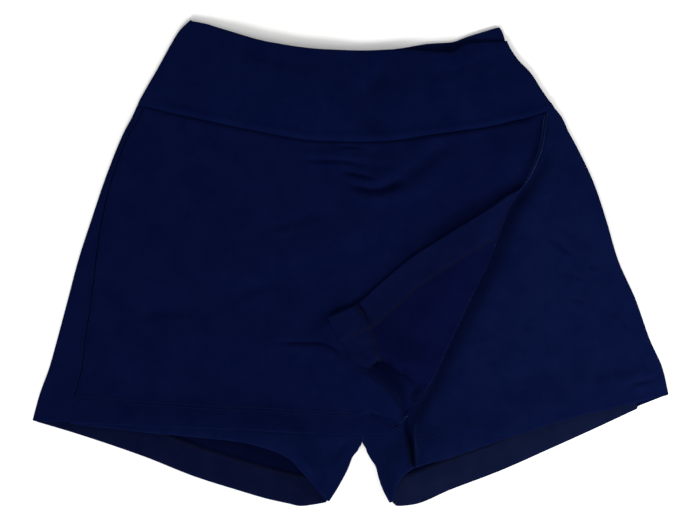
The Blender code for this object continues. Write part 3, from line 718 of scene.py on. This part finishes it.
def towards_seam(edge, side, share):
    """Plan points on the way from a rolled edge back to its side seam, kept below the waist seam."""
    seam_y = edge[:, 1]
    for _ in range(2):
        inset = at_level(side + "_seam", seam_y) - EDGE_INSET
        seam_x = at_level(side, seam_y) + INWARDS[side] * inset
        seam_y = np.minimum(edge[:, 1], at_seam(seam_x) - SEAM_GAP)
    return edge[:, 0] + (seam_x - edge[:, 0]) * share, edge[:, 1] + (seam_y - edge[:, 1]) * share


def shares_of(parts):
    """Fractions from 0 to 1 whose spacing changes: parts say how many steps there are until each fraction."""
    made, start = [np.zeros(1)], 0.0
    for until, steps in parts:
        made.append(np.linspace(start, until, steps + 1)[1:])
        start = until
    return np.concatenate(made)


def hem_rows(parts, inside, length):
    """Fractions down a panel, two of them close together where the hem is sewn, and which lie in the hem."""
    hem_share = HEM_DEPTH / length
    above = shares_of(parts) * (1 - hem_share)
    below = np.linspace(1 - hem_share + HEM_STEP, 1, inside)
    return np.concatenate([above, below]), np.concatenate([np.zeros(len(above)), np.ones(inside)])


def with_hem(in_hem, across):
    """How far a cloth's wrong side lies off its middle: further where the hem is turned up."""
    return CLOTH / 2 + HEM_EXTRA * np.outer(in_hem, across)


def hem_points(rows, y="front"):
    """Points along a hem, just inside its rounded rim."""
    return points_of(rows, "x", y) + [0, EDGE_INSET]


# Cloth materials


def set_inputs(tree, made, inputs):
    for key, value in inputs.items():
        if isinstance(value, bpy.types.NodeSocket):
            tree.links.new(value, made.inputs[key])
        else:
            made.inputs[key].default_value = value


def node(tree, kind, inputs, **settings):
    """A shader node; each of its inputs is a value or the output of another node."""
    made = tree.nodes.new(kind)
    for name, value in settings.items():
        setattr(made, name, value)
    set_inputs(tree, made, inputs)
    return made


def scaled_sum(tree, first, factor, second):
    inputs = {0: first, 1: factor, 2: second}
    return node(tree, "ShaderNodeMath", inputs, operation="MULTIPLY_ADD").outputs[0]


def material(name):
    """A new material, its tree and shader, and the outputs that say where a point of the cloth lies."""
    made = bpy.data.materials.new(name)
    made.use_nodes = True
    where = node(made.node_tree, "ShaderNodeTexCoord", {}).outputs
    return made, made.node_tree, made.node_tree.nodes["Principled BSDF"], where


def knit(name, colour):
    """Matte stretch knit: fine wales and courses, a slight mottle of the dye and a soft nap."""
    made, tree, shader, where = material(name)
    spot, flat = where["Object"], where["UV"]
    patches = {"Vector": spot, "Scale": 55.0, "Detail": 6.0, "Roughness": 0.65}
    patches = node(tree, "ShaderNodeTexNoise", patches).outputs["Fac"]
    flecks = node(tree, "ShaderNodeTexNoise", {"Vector": spot, "Scale": 1400.0, "Detail": 2.0}).outputs["Fac"]
    ramp = node(tree, "ShaderNodeValToRGB", {"Fac": scaled_sum(tree, flecks, 0.45, patches)})
    for stop, (position, shades) in zip(ramp.color_ramp.elements, MOTTLE):
        stop.position = position
        stop.color = (*(part * shade for part, shade in zip(colour, shades)), 1)
    wales = {"Vector": flat, "Scale": 0.62, "Distortion": 0.6, "Detail": 1.0}
    wales = node(tree, "ShaderNodeTexWave", wales, bands_direction="X").outputs["Fac"]
    courses = {"Vector": flat, "Scale": 0.85, "Distortion": 0.8, "Detail": 1.0}
    courses = node(tree, "ShaderNodeTexWave", courses, bands_direction="Y").outputs["Fac"]
    loops = scaled_sum(tree, courses, 0.6, wales)
    nap = scaled_sum(tree, flecks, 0.8, loops)
    relief = node(tree, "ShaderNodeBump", {"Height": nap, "Strength": 0.5, "Distance": 0.00008})
    looks = {"Roughness": 0.9, "Specular IOR Level": 0.0, "Sheen Weight": SHEEN, "Sheen Roughness": 0.3}
    set_inputs(tree, shader, looks)
    ends = {"Base Color": ramp.outputs["Color"], "Normal": relief.outputs["Normal"], "Sheen Tint": SHEEN_TINT}
    set_inputs(tree, shader, ends)
    return made


def plain(name, colour, roughness):
    """Thread and the surface under the garment: one colour with a fine uneven roughness."""
    made, tree, shader, where = material(name)
    grain = node(tree, "ShaderNodeTexNoise", {"Vector": where["Object"], "Scale": 900.0}).outputs["Fac"]
    span = {"Value": grain, "To Min": roughness - 0.08, "To Max": min(roughness + 0.08, 1.0)}
    span = node(tree, "ShaderNodeMapRange", span).outputs["Result"]
    set_inputs(tree, shader, {"Base Color": (*colour, 1), "Specular IOR Level": 0.05, "Roughness": span})
    return made


# Shells


def sheet_normals(middle):
    """The direction off the cloth at each point, from the mean direction of the rows that meet there."""

    def direction(axis):
        steps = np.diff(middle, axis=axis)
        steps = steps / np.maximum(np.linalg.norm(steps, axis=-1, keepdims=True), 1e-6)
        first = np.take(steps, [0], axis=axis)
        last = np.take(steps, [-1], axis=axis)
        return np.concatenate([first, steps], axis=axis) + np.concatenate([steps, last], axis=axis)

    return units(np.cross(direction(0), direction(1)) + [0, 0, 1e-9])


def cloth_map(middle):
    """Where each point lies on the flat cloth, in millimetres: along its row, and down the piece."""
    steps = np.linalg.norm(np.diff(middle, axis=1), axis=2)
    along = np.concatenate([np.zeros((len(middle), 1)), np.cumsum(steps, axis=1)], axis=1)
    down = np.broadcast_to(-reach_along(middle[:, 0])[:, None], along.shape)
    return np.dstack([along + middle[:, :1, 0], down])


def mesh_of(name, points, faces, cloth, flat=None):
    data = bpy.data.meshes.new(name)
    data.from_pydata((np.asarray(points) - CENTRE) * MM, [], faces)
    if flat is not None:
        layer = data.uv_layers.new(name="cloth")
        corners = np.zeros(len(data.loops), np.int32)
        data.loops.foreach_get("vertex_index", corners)
        layer.data.foreach_set("uv", np.asarray(flat, np.float32)[corners].ravel())
    data.materials.append(cloth)
    data.shade_smooth()
    piece = bpy.data.objects.new(name, data)
    bpy.context.scene.collection.objects.link(piece)
    return piece


def shell(name, middle, face, back, cloths, inside="back"):
    """A closed thin shell round a grid of points, its edge rounded; each side stands off it by face or back.

    Cloths are the right side, the wrong side where the cloth is single, and the right side of a turned-up
    hem; the flap's last cloth is a darker one, painted shade for the deep hollow. Inside says on which side
    the wrong side lies.
    """
    size = middle.shape[:2]
    normals = sheet_normals(middle)
    face, back = (np.broadcast_to(off, size)[..., None] for off in (face, back))
    index = np.arange(middle[..., 0].size).reshape(size)
    loop = np.concatenate([index[:, 0], index[-1, 1:], index[-2::-1, -1], index[0, -2:0:-1]])
    edge, up = middle.reshape(-1, 3)[loop], normals.reshape(-1, 3)[loop]
    tangent = np.roll(edge, -1, axis=0) - np.roll(edge, 1, axis=0)
    out = units(np.cross(tangent, up) + [1e-12, 0, 0])
    high, low = face.reshape(-1, 1)[loop], back.reshape(-1, 1)[loop]
    half, centre = (high + low) / 2, (high - low) / 2
    rings = []
    for step in range(1, RIM_STEPS):
        angle = math.pi * step / RIM_STEPS
        bulge = out * np.minimum(half, EDGE_INSET) * math.sin(angle)
        rings.append(edge + up * (centre + half * math.cos(angle)) + bulge)
    upper, lower = (middle + normals * face).reshape(-1, 3), (middle - normals * back).reshape(-1, 3)
    a, b, c, d = (index[:-1, :-1], index[1:, :-1], index[1:, 1:], index[:-1, 1:])
    top = np.stack([a, b, c, d], axis=-1).reshape(-1, 4)
    below = index.size + len(rings) * len(loop)
    levels = [loop] + [index.size + k * len(loop) + np.arange(len(loop)) for k in range(len(rings))]
    levels.append(loop + below)
    sides = [
        np.stack([first, second, np.roll(second, -1), np.roll(first, -1)], axis=-1)
        for first, second in zip(levels[:-1], levels[1:])
    ]
    faces = np.concatenate([top, *sides, top[:, [0, 3, 2, 1]] + below])
    flat = cloth_map(middle).reshape(-1, 2)
    flat = np.concatenate([flat] + [flat[loop]] * len(rings) + [flat])
    piece = mesh_of(name, np.concatenate([upper, *rings, lower]), faces.tolist(), cloths[0], flat)
    for cloth in cloths[1:]:
        piece.data.materials.append(cloth)
    if len(cloths) > 1:
        inner = (back if inside == "back" else face)[..., 0]
        hem = inner > CLOTH / 2 + 0.1
        hem = hem[:-1, :-1] | hem[1:, :-1] | hem[1:, 1:] | hem[:-1, 1:]
        # faces marked down in the flap's hollow take the last, darker cloth: painted shade
        deep = (inner < CLOTH / 2 - 0.01)[:-1, :-1]
        slots = np.zeros(len(faces), np.int32)
        wrong_faces = slots[-len(top) :] if inside == "back" else slots[: len(top)]
        wrong_faces[:] = np.where(deep, len(cloths) - 1, 1 + hem).reshape(-1)
        piece.data.polygons.foreach_set("material_index", slots)
    return piece


def threads(name, starts, ends, ups, thick, arch, cloth):
    """Short lengths of thread, each an arched tube that dips into the cloth at its start and its end."""
    side = units(np.cross(units(ends - starts), ups))
    rings = []
    for ring in THREAD_RINGS:
        middle = starts + (ends - starts) * ring.share + ups * (ring.lift * thick + ring.arch * arch)
        for turn in np.arange(THREAD_SIDES) * 2 * math.pi / THREAD_SIDES:
            rings.append(middle + (side * math.cos(turn) + ups * math.sin(turn)) * (ring.swell * thick / 2))
    points = np.stack(rings, axis=1)
    count, each = points.shape[:2]
    around = np.arange(THREAD_SIDES)
    after = np.roll(around, -1)
    strip = np.stack([around, after, after + THREAD_SIDES, around + THREAD_SIDES], axis=1)
    faces = np.concatenate([strip + ring * THREAD_SIDES for ring in range(len(THREAD_RINGS) - 1)])
    caps = np.stack([around[::-1], each - THREAD_SIDES + around])
    offset = (np.arange(count) * each)[:, None, None]
    quads = (faces[None] + offset).reshape(-1, 4).tolist()
    ends_of = (caps[None] + offset).reshape(-1, THREAD_SIDES).tolist()
    return mesh_of(name, points.reshape(-1, 3), quads + ends_of, cloth)


def spaced(line, ups, pitch):
    """Points at an even pitch along a line in space, with the direction off the cloth at each."""
    reach = reach_along(line)
    at = np.arange(pitch / 2, reach[-1], pitch)
    points, normals = (
        np.stack([np.interp(at, reach, values[:, k]) for k in range(3)], axis=1) for values in (line, ups)
    )
    return points, units(normals)


def sewn(lines, pitch, offsets):
    """Starts, ends and directions of threads at a pitch along lines; offsets give their two ends."""
    made = []
    for line, ups in lines:
        points, normals = spaced(line, ups, pitch)
        along = units(np.gradient(points, axis=0))
        start, end = offsets(along, np.cross(normals, along))
        made.append((points + start, points + end, normals))
    return [np.concatenate(part) for part in zip(*made)]


def stitch(along, side):
    """A straight stitch of the hem."""
    return -along * STITCH_LENGTH / 2, along * STITCH_LENGTH / 2


def binding(along, side):
    """A slanting thread that binds a raw edge."""
    number = np.arange(len(along))
    wander = 0.5 * np.sin(number * 1.9) + 0.3 * np.sin(number * 0.53)
    start = -side * (SERGE_REACH / 2 + wander[:, None]) - along * SERGE_PITCH * 0.4
    return start, side * (SERGE_REACH / 2) + along * SERGE_PITCH * 0.6


def surface_line(top, path):
    """A line of (points, ups) that follows a path over a height."""
    x, y = path[:, 0], path[:, 1]
    reach = 0.6
    slope_x = (top(x + reach, y) - top(x - reach, y)) / (2 * reach)
    slope_y = (top(x, y + reach) - top(x, y - reach)) / (2 * reach)
    ups = units(np.stack([-slope_x, -slope_y, np.ones(len(x))], axis=1))
    return np.column_stack([x, y, top(x, y)]), ups


# Pieces


def band_plan(which, inset, last_x, columns, rows):
    """Plan points of the front or the back of the band, down to the seam under it."""
    top = points_of(WAIST_TOP, "x", which) - [0, EDGE_INSET]
    top[0, 0] += inset
    top[-1, 0] = last_x
    seam = seam_line(seam_end("left", inset), seam_end("right", inset), SEAM_GAP)
    left = side_line("left", inset, top[0, 1], seam[0, 1])
    right = side_line("right", inset, top[-1, 1], seam[-1, 1])
    return patch(top, seam, left, right, np.linspace(0, 1, columns), np.linspace(0, 1, rows))


def waistband_back():
    """The back of the band lies on the surface; its inside shows above the front at the right."""
    plan = band_plan("back", BACK_INSET, WAIST_TOP[-1].x - EDGE_INSET, 110, 30)
    grid = on_floor(plan, BAND_CLOTH)
    grid[..., 2] += 0.25 + 0.25 * np.sin(plan[..., 0] / 9 + plan[..., 1] / 14)
    half = BAND_CLOTH / 2
    return shell("waistband_back_cloth", grid, half, half, [knit("band_inside", NAVY_LEG_WITH_PAINTED_LIGHT)])


def waistband_front():
    """The front of the band, folded at its upper edge and rolled over the back at both sides."""
    roll, half = BAND_TOP / 2, BAND_CLOTH / 2
    last_x = at_level("right", WAIST_TOP[-1].front - EDGE_INSET) - roll
    grid = laid(band_plan("front", roll, last_x, 200, 60), band_top, BAND_CLOTH)
    for side, edge in (("left", grid[:, 0]), ("right", grid[:, -1])):
        grid = add_columns(grid, side_roll(edge, side, np.full(len(edge), half)), side)
    return shell("waistband_front_cloth", grid, half, half, [knit("band", NAVY_BAND)])


def back_shell(name, grid, in_hem, across, cloths, first=0):
    """The shell of a leg's back, and the raw edge of its hem inside, from a first column on."""
    piece = shell(name, grid, with_hem(in_hem, across), CLOTH / 2, cloths, "face")
    raw = grid[np.argmax(in_hem), first:].copy()
    raw[:, 2] = CLOTH + HEM_EXTRA
    return piece, [(raw, np.tile([0.0, 0.0, 1.0], (len(raw), 1)))]


def back_left(cloths):
    """The back of the left leg, its hem turned up inside; it rolls round the side onto the front."""
    down, in_hem = hem_rows(((1.0, 109),), 16, BACK_LENGTH)
    roll = FLAP_TOP / 2
    top = seam_line(seam_end("left", roll), CENTRE_X, -SEAM_GAP)
    hem = hem_points(LEFT_HEM, "back")
    hem[0, 0] += roll
    hem[-1, 0] -= BACK_INSET
    left = side_line("left", roll, top[0, 1], hem[0, 1])
    right = inner_edge("left", BACK_INSET, SEAM_GAP / 2, hem[-1])
    grid = on_floor(patch(top, hem, left, right, np.linspace(0, 1, BACK_COLUMNS), down), CLOTH)
    edge = grid[:, 0]
    columns = side_roll(edge, "left", flap_top(edge[:, 0], edge[:, 1]) - CLOTH / 2)
    for share in np.linspace(0, 1, 20)[1:]:
        x, y = towards_seam(edge, "left", share)
        columns.append(np.column_stack([x, y, flap_top(x, y) - CLOTH / 2]))
    grid = add_columns(grid, columns, "left")
    at = np.arange(grid.shape[1]) - len(columns)
    flat_part = (at > 0) | (at < -SIDE_ROLL_COLUMNS - 2)
    return back_shell("back_left_cloth", grid, in_hem, flat_part, cloths, len(columns) + 3)


def back_right(cloths):
    """The back of the right leg, between the centre and the side seam on the underside."""
    down, in_hem = hem_rows(((1.0, 109),), 16, BACK_LENGTH)
    seam_in = at_level("right_seam", WAIST_SEAM[-1].y)
    top = seam_line(CENTRE_X + SEAM_GAP / 2, seam_end("right", seam_in), -SEAM_GAP)
    hem = hem_points(RIGHT_HEM, "back")
    hem[0, 0] += BACK_INSET
    hem = np.vstack([hem[hem[:, 0] < RIGHT_BACK_CORNER[0]], RIGHT_BACK_CORNER])
    right = side_seam_line("right", 0, top[-1, 1], hem[-1, 1])
    hem[-1] = right[-1]
    left = inner_edge("right", BACK_INSET, SEAM_GAP / 2, hem[0])
    grid = on_floor(patch(top, hem, left, right, np.linspace(0, 1, BACK_COLUMNS), down), CLOTH)
    return back_shell("back_right_cloth", grid, in_hem, np.ones(BACK_COLUMNS), cloths)


def front_left(cloths):
    """The front of the left leg, under the flap; its hem shows below the flap."""
    across = np.linspace(0, 1, 150)
    down, in_hem = hem_rows(((1.0, 109),), 20, FLAP_LENGTH)
    first = seam_end("left", at_level("left_seam", WAIST_SEAM[0].y) + 2)
    top = seam_line(first, CENTRE_X, -SEAM_GAP)
    hem = hem_points(LEFT_HEM)[1:]
    left = side_seam_line("left", 2, top[0, 1], hem[0, 1])
    hem[0] = left[-1]
    hem[-1, 0] -= ROLL_REACH
    right = inner_edge("left", ROLL_REACH, 0, hem[-1])
    grid = with_roll(laid(patch(top, hem, left, right, across, down), front_top, CLOTH), "right")
    below = with_hem(in_hem, np.arange(grid.shape[1]) < len(across))
    return shell("front_left_cloth", grid, CLOTH / 2, below, cloths)


def front_right(cloths):
    """The right leg that shows; it rolls round the side to the seam on the underside."""
    across = shares_of(((0.16, 44), (0.5, 50), (1.0, 66)))
    down, in_hem = hem_rows(((0.7, 84), (1.0, 50)), 20, RIGHT_LEG_LENGTH)
    roll = FRONT_TOP / 2
    top = seam_line(CENTRE_X, seam_end("right", roll), -SEAM_GAP)
    hem = hem_points(RIGHT_HEM)
    hem[0, 0] += ROLL_REACH
    hem[-1, 0] -= roll
    right = side_line("right", roll, top[-1, 1], hem[-1, 1])
    left = inner_edge("right", ROLL_REACH, 0, hem[0])
    plan = patch(top, hem, left, right, across, down)
    grid = laid(plan, leg_top, CLOTH)
    edge = grid[:, -1]
    floor_z = np.full(len(edge), CLOTH / 2)
    columns = side_roll(edge, "right", floor_z)
    for share in (0.25, 0.5, 0.75, 1.0):
        x, y = towards_seam(edge, "right", share)
        columns.append(np.column_stack([x, y - SIDE_DROP * share * ramp(down, 0.6, 0.4), floor_z]))
    grid = with_roll(add_columns(grid, columns, "right"), "left")
    at = np.arange(grid.shape[1]) - SIDE_ROLL_COLUMNS
    below = with_hem(in_hem, (at >= 0) & (at < len(across)))
    piece = shell("front_right_cloth", grid, CLOTH / 2, below, cloths)
    return piece, surface_rows(plan, in_hem, leg_top, RIGHT_STITCHED)


def surface_rows(plan, in_hem, top, last):
    """Two parallel lines on a surface just above a hem, up to a last column, as a twin needle sews them."""
    row = np.argmax(in_hem) - 1
    path = plan[row, :last]
    down = units(plan[row + 4, :last] - path)
    return [surface_line(top, path + down * away) for away in (FIRST_ROW, FIRST_ROW + ROWS_APART)]


def lies_flat(share):
    """Rises from 0 to 1 across the turned cloth: past the hollow its hem lies flat again."""
    return ramp(share, 0.38, 0.4)


def turned_columns(down):
    """Columns of points past the line that the corner turns about: its roll, its cloth, then its side hem."""
    value = {name: read(TURNS, name, "down", down) for name in TURNS[0]._fields}
    axis, edge = (np.stack([value[of + "_x"], value[of + "_y"]], axis=1) for of in ("axis", "edge"))
    along = units(np.gradient(axis, axis=0))
    out = np.stack([-along[:, 1], along[:, 0]], axis=1)
    angle, radius = np.radians(np.maximum(value["angle"], 0.5)), value["radius"]
    turned = ramp(value["angle"], 100, 78)
    hem = smooth_line(CORNER_HEM, 100)
    roll = np.maximum(radius * angle, 2.0)

    def past_axis(turn, straight):
        """Plan points and rise of the cloth where it has turned so far and then gone straight on."""
        beside = radius * np.sin(turn) + straight * np.cos(angle)
        return axis + out * beside[:, None], radius * (1 - np.cos(turn)) + straight * np.sin(angle)

    columns = []
    for share in np.linspace(0, 1, ROLL_COLUMNS + 1)[1:]:
        turn = np.minimum(roll * share / radius, angle)
        columns.append(past_axis(turn, roll * share - radius * turn))
    start, far = columns[-1][0], value["width"] - roll
    top_y = at_seam(axis[0, 0]) - SEAM_GAP
    at_waist = 1 - smooth_step(down / 0.08)
    for share in np.linspace(0, 1, EAR_COLUMNS + 1)[1:]:
        straight = far * share
        free, free_rise = past_axis(angle, straight)
        over = start + (edge - start) * share
        on_hem = np.array([np.interp(share, np.linspace(0, 1, 100), hem[:, k]) for k in (0, 1)])
        reach = WALL_FROM + (1 - WALL_FROM) * lies_flat(share)
        bend = smooth_step((down - CORNER_HEM_FROM) / (reach - CORNER_HEM_FROM))[:, None]
        over = over + (on_hem + (1 - down)[:, None] * WALL_LEAN - over) * bend
        settled = EAR_LIFT + (2 * radius - EAR_LIFT) * np.exp(-np.maximum(straight, 0) / EAR_SETTLE)
        puff = EAR_PUFF * (1 - bell(straight / EAR_SHOULDER)) * smooth_step((far - straight) / 30.0)
        plan = free + (over - free) * turned[:, None]
        plan[:, 1] += (at_seam(plan[:, 0]) - SEAM_GAP - top_y) * at_waist
        columns.append((plan, free_rise + (settled + puff - free_rise) * turned))
    return columns


def front_flap(cloths):
    """The overlay: sewn at the waist and the left side, its free lower right corner turned back."""
    across = shares_of(((0.04, 12), (1.0, FLAP_COLUMNS - 13)))
    down, in_hem = hem_rows(((0.2, 46), (0.72, 54), (0.84, 20), (1.0, 14)), 20, FLAP_LENGTH)
    first = seam_end("left", at_level("left_seam", WAIST_SEAM[0].y) + EDGE_INSET)
    top = seam_line(first, TURNS[0].axis_x, -SEAM_GAP)
    hem = np.vstack([hem_points(FLAP_HEM, "y"), [TURNS[-1].axis_x, TURNS[-1].axis_y]])
    left = side_seam_line("left", EDGE_INSET, top[0, 1], hem[0, 1])
    hem[0] = left[-1]
    axis = np.stack([read(TURNS, name, "down", down) for name in ("axis_x", "axis_y")], axis=1)
    plan = patch(top, hem, left, axis, across, down)
    grid, corner_layers = turned_over(laid(plan, flap_top, CLOTH), down)
    layers = np.outer(in_hem, np.arange(FLAP_COLUMNS) < FLAP_COLUMNS - 6)
    wrong_side = CLOTH / 2 + HEM_EXTRA * np.concatenate([layers, corner_layers], axis=1)
    piece = shell("front_flap_cloth", grid, CLOTH / 2, wrong_side, cloths)
    return piece, surface_rows(plan, in_hem, flap_top, FLAP_COLUMNS - 20), grid, wrong_side


def turned_over(grid, down):
    """The flap's grid with its turned corner, and how many hem layers lie on each point of that corner."""
    columns = turned_columns(down)
    outer_edge = smooth_line(TURNS[4:], 40, "edge_x", "edge_y")
    inside, hem = smooth_line(CORNER_HEM_INSIDE, 40), smooth_line(CORNER_HEM, 60)
    hollow = smooth_line(HOLLOW, 20)
    turned = ramp(down, 0.27, 0.06)
    lift = read(EDGE_LIFTS, "lift", "down", down)
    reach = np.minimum(read(TURNS, "width", "down", down), SIDE_HEM_DEPTH) - 0.5
    free_edge = columns[-1][0]
    made, layers = [], []
    for number, (plan, rise) in enumerate(columns):
        share = max(number - ROLL_COLUMNS, 0) / (EAR_COLUMNS - 1)
        near_hollow = 1 - lies_flat(share)
        x, y = plan[:, 0], plan[:, 1]
        body = flap_top(x, y) - corner_swell(x, y) * smooth_step(number / 9.0)
        height = np.maximum(body, leg_top(x, y) + LAYER_GAP + CLOTH) - CLOTH / 2 + rise
        if number >= ROLL_COLUMNS:
            height = height + turned * (folds_at(EAR_FOLDS, x, y) + creases_at(EAR_CREASES, x, y))
            height = height + lift * np.clip(1 - distance_to(free_edge, x, y) / reach, 0, 1) ** 1.4
        beside, along = beside_path(hem, x, y)
        on_edge = read(CORNER_HEM_RISE, "height", "share", along) - CLOTH / 2
        near = bell(beside / 14.0) * ramp(down, 0.85, 0.08) * lies_flat(share)
        height = height + (on_edge - height) * near
        pit = distance_to(hollow, x, y) / HOLLOW_WIDTH
        height = height + np.minimum(HOLLOW_TOP - height, 0) * np.exp(-(pit**10)) * near_hollow
        wall = smooth_step((down - WALL_FROM) / (1 - WALL_FROM)) * near_hollow * smooth_step(number / 14.0)
        height = height + (on_edge - height) * wall
        made.append(np.column_stack([x, y, height]))
        side_hem = smooth_step((SIDE_HEM_DEPTH - distance_to(outer_edge, x, y)) / 0.8) * (down > 0.25)
        lower_hem = smooth_step(-beside_path(inside, x, y)[0] / 0.8) * ramp(pit, 0.9, 0.2)
        single = (side_hem + lower_hem * (down > 0.6)) * (share > 0.03)
        # the hollow and the end of the roll beyond it are marked for the darker cloth: painted shade
        deep = ((pit < 0.97) | (down > 0.93)) & (share < 0.42) & (down > 0.8)
        layers.append(np.where(deep, PAINTED_SHADE_LAYERS, single))
    return add_columns(grid, made, "right"), np.stack(layers, axis=1)


# The scene


def finish_pieces(pieces):
    """Hangs each piece of cloth from the root and hides the solid that it stands for."""
    for piece, cut in zip(pieces, CUTS):
        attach(piece, "root")
        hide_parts(cut.node)


def floor():
    """A plain pale surface just under the garment."""
    half, level = 3000.0, -0.3
    points = [(-half, -half, level), (half, -half, level), (half, half, level), (-half, half, level)]
    made = mesh_of("surface", points, [(0, 1, 2, 3)], plain("pale_surface", (0.9, 0.9, 0.9), 0.9))


def lamp(name, at, size, watts):
    data = bpy.data.lights.new(name, "AREA")
    data.shape, data.size, data.energy = "DISK", size, watts
    data.color = (1.0, 0.99, 0.97)
    made = bpy.data.objects.new(name, data)
    made.location = at
    made.rotation_euler = (-Vector(at)).to_track_quat("-Z", "Y").to_euler()
    made.visible_camera = False
    bpy.context.scene.collection.objects.link(made)


def lights():
    world = bpy.data.worlds.new("studio")
    world.use_nodes = True
    sky = world.node_tree.nodes["Background"]
    sky.inputs["Color"].default_value = (1.0, 1.0, 1.0, 1)
    sky.inputs["Strength"].default_value = SKY
    bpy.context.scene.world = world
    lamp("key", KEY_AT, KEY_SIZE, KEY_WATTS)
    lamp("fill", FILL_AT, FILL_SIZE, FILL_WATTS)
    bpy.context.scene.view_settings.view_transform = "Standard"


def camera():
    """Straight above the garment, framing what the photograph frames."""
    data = bpy.data.cameras.new("camera")
    data.sensor_width = SENSOR
    data.lens = SENSOR * CAMERA_HEIGHT / (PHOTO_WIDTH * MM_PER_PIXEL * MM)
    data.clip_start, data.clip_end = 0.1, 20
    made = bpy.data.objects.new("camera", data)
    x, y = (CAMERA_AT[0] - CENTRE[0]) * MM, (CAMERA_AT[1] - CENTRE[1]) * MM
    made.location = (x, y, CAMERA_HEIGHT)
    bpy.context.scene.collection.objects.link(made)
    bpy.context.scene.camera = made


def sewing(hem_lines, raw_edges, flap_grid, wrong_side):
    """Hem stitches on the outside, and the binding of the raw edges inside."""
    thread, serge = plain("thread", THREAD, 0.7), plain("serge_thread", SERGE_THREAD, 0.85)
    stitches = sewn(hem_lines, STITCH_PITCH, stitch)
    made = [threads("hem_stitches", *stitches, STITCH_THICK, 0.1, thread)]
    corner_edges = corner_raw_edges(flap_grid, wrong_side)
    for name, lines in (("raw_edge_binding", raw_edges), ("corner_edge_binding", corner_edges)):
        bound = sewn(lines, SERGE_PITCH, binding)
        made.append(threads(name, *bound, SERGE_THICK, 0.25, serge))
    for piece in made:
        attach(piece, "root")


def corner_raw_edges(grid, wrong_side):
    """The raw edges of the hems turned up inside the turned corner, as lines over its upper side."""
    normals = -sheet_normals(grid)
    upper = grid + normals * wrong_side[..., None]
    first = FLAP_COLUMNS + ROLL_COLUMNS
    ear, ear_up, ear_plan = upper[:, first:], normals[:, first:], grid[:, first:, :2]
    outer_edge = smooth_line(TURNS[4:], 40, "edge_x", "edge_y")
    away = distance_to(outer_edge, ear_plan[..., 0], ear_plan[..., 1])
    rows = np.arange(*SIDE_BINDING_ROWS)
    side = np.array([np.argmin(abs(away[row] - SIDE_HEM_DEPTH)) for row in rows])
    flat = ear_plan.reshape(-1, 2)
    inside = smooth_line(CORNER_HEM_INSIDE[1:5], 44)
    near = [int(np.argmin(((flat - spot) ** 2).sum(1))) for spot in inside]
    return [(ear[rows, side], ear_up[rows, side]), (ear.reshape(-1, 3)[near], ear_up.reshape(-1, 3)[near])]


def main():
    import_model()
    camera()
    # the leg's cloth is lighter than the flap's: painted light
    leg, wrong, hem = knit("leg", NAVY_LEG_WITH_PAINTED_LIGHT), knit("wrong_side", NAVY_WRONG), knit("hem", NAVY_HEM)
    # the inside cloth is darker than the wrong side: painted shade in the backs' insides and the flap's
    # hollow
    back, inside = knit("back", NAVY), knit("inside", NAVY_INSIDE_PAINTED_SHADE)
    band_back, band_front = waistband_back(), waistband_front()
    # the back hems' cloths are painted shade at the left and painted light at the right
    left_back, left_raw = back_left([back, inside, knit("left_hem_painted_shade", NAVY_LEFT_HEM_PAINTED_SHADE)])
    right_back, right_raw = back_right([back, inside, knit("right_hem_painted_light", NAVY_RIGHT_HEM_PAINTED_LIGHT)])
    left_front = front_left([leg, wrong, hem])
    right_front, right_stitches = front_right([leg, wrong, hem])
    flap, flap_stitches, flap_grid, wrong_side = front_flap([knit("flap", NAVY), wrong, hem, inside])
    finish_pieces([band_back, band_front, left_back, right_back, left_front, right_front, flap])
    sewing(right_stitches + flap_stitches, left_raw + right_raw, flap_grid, wrong_side)
    floor()
    lights()


main()
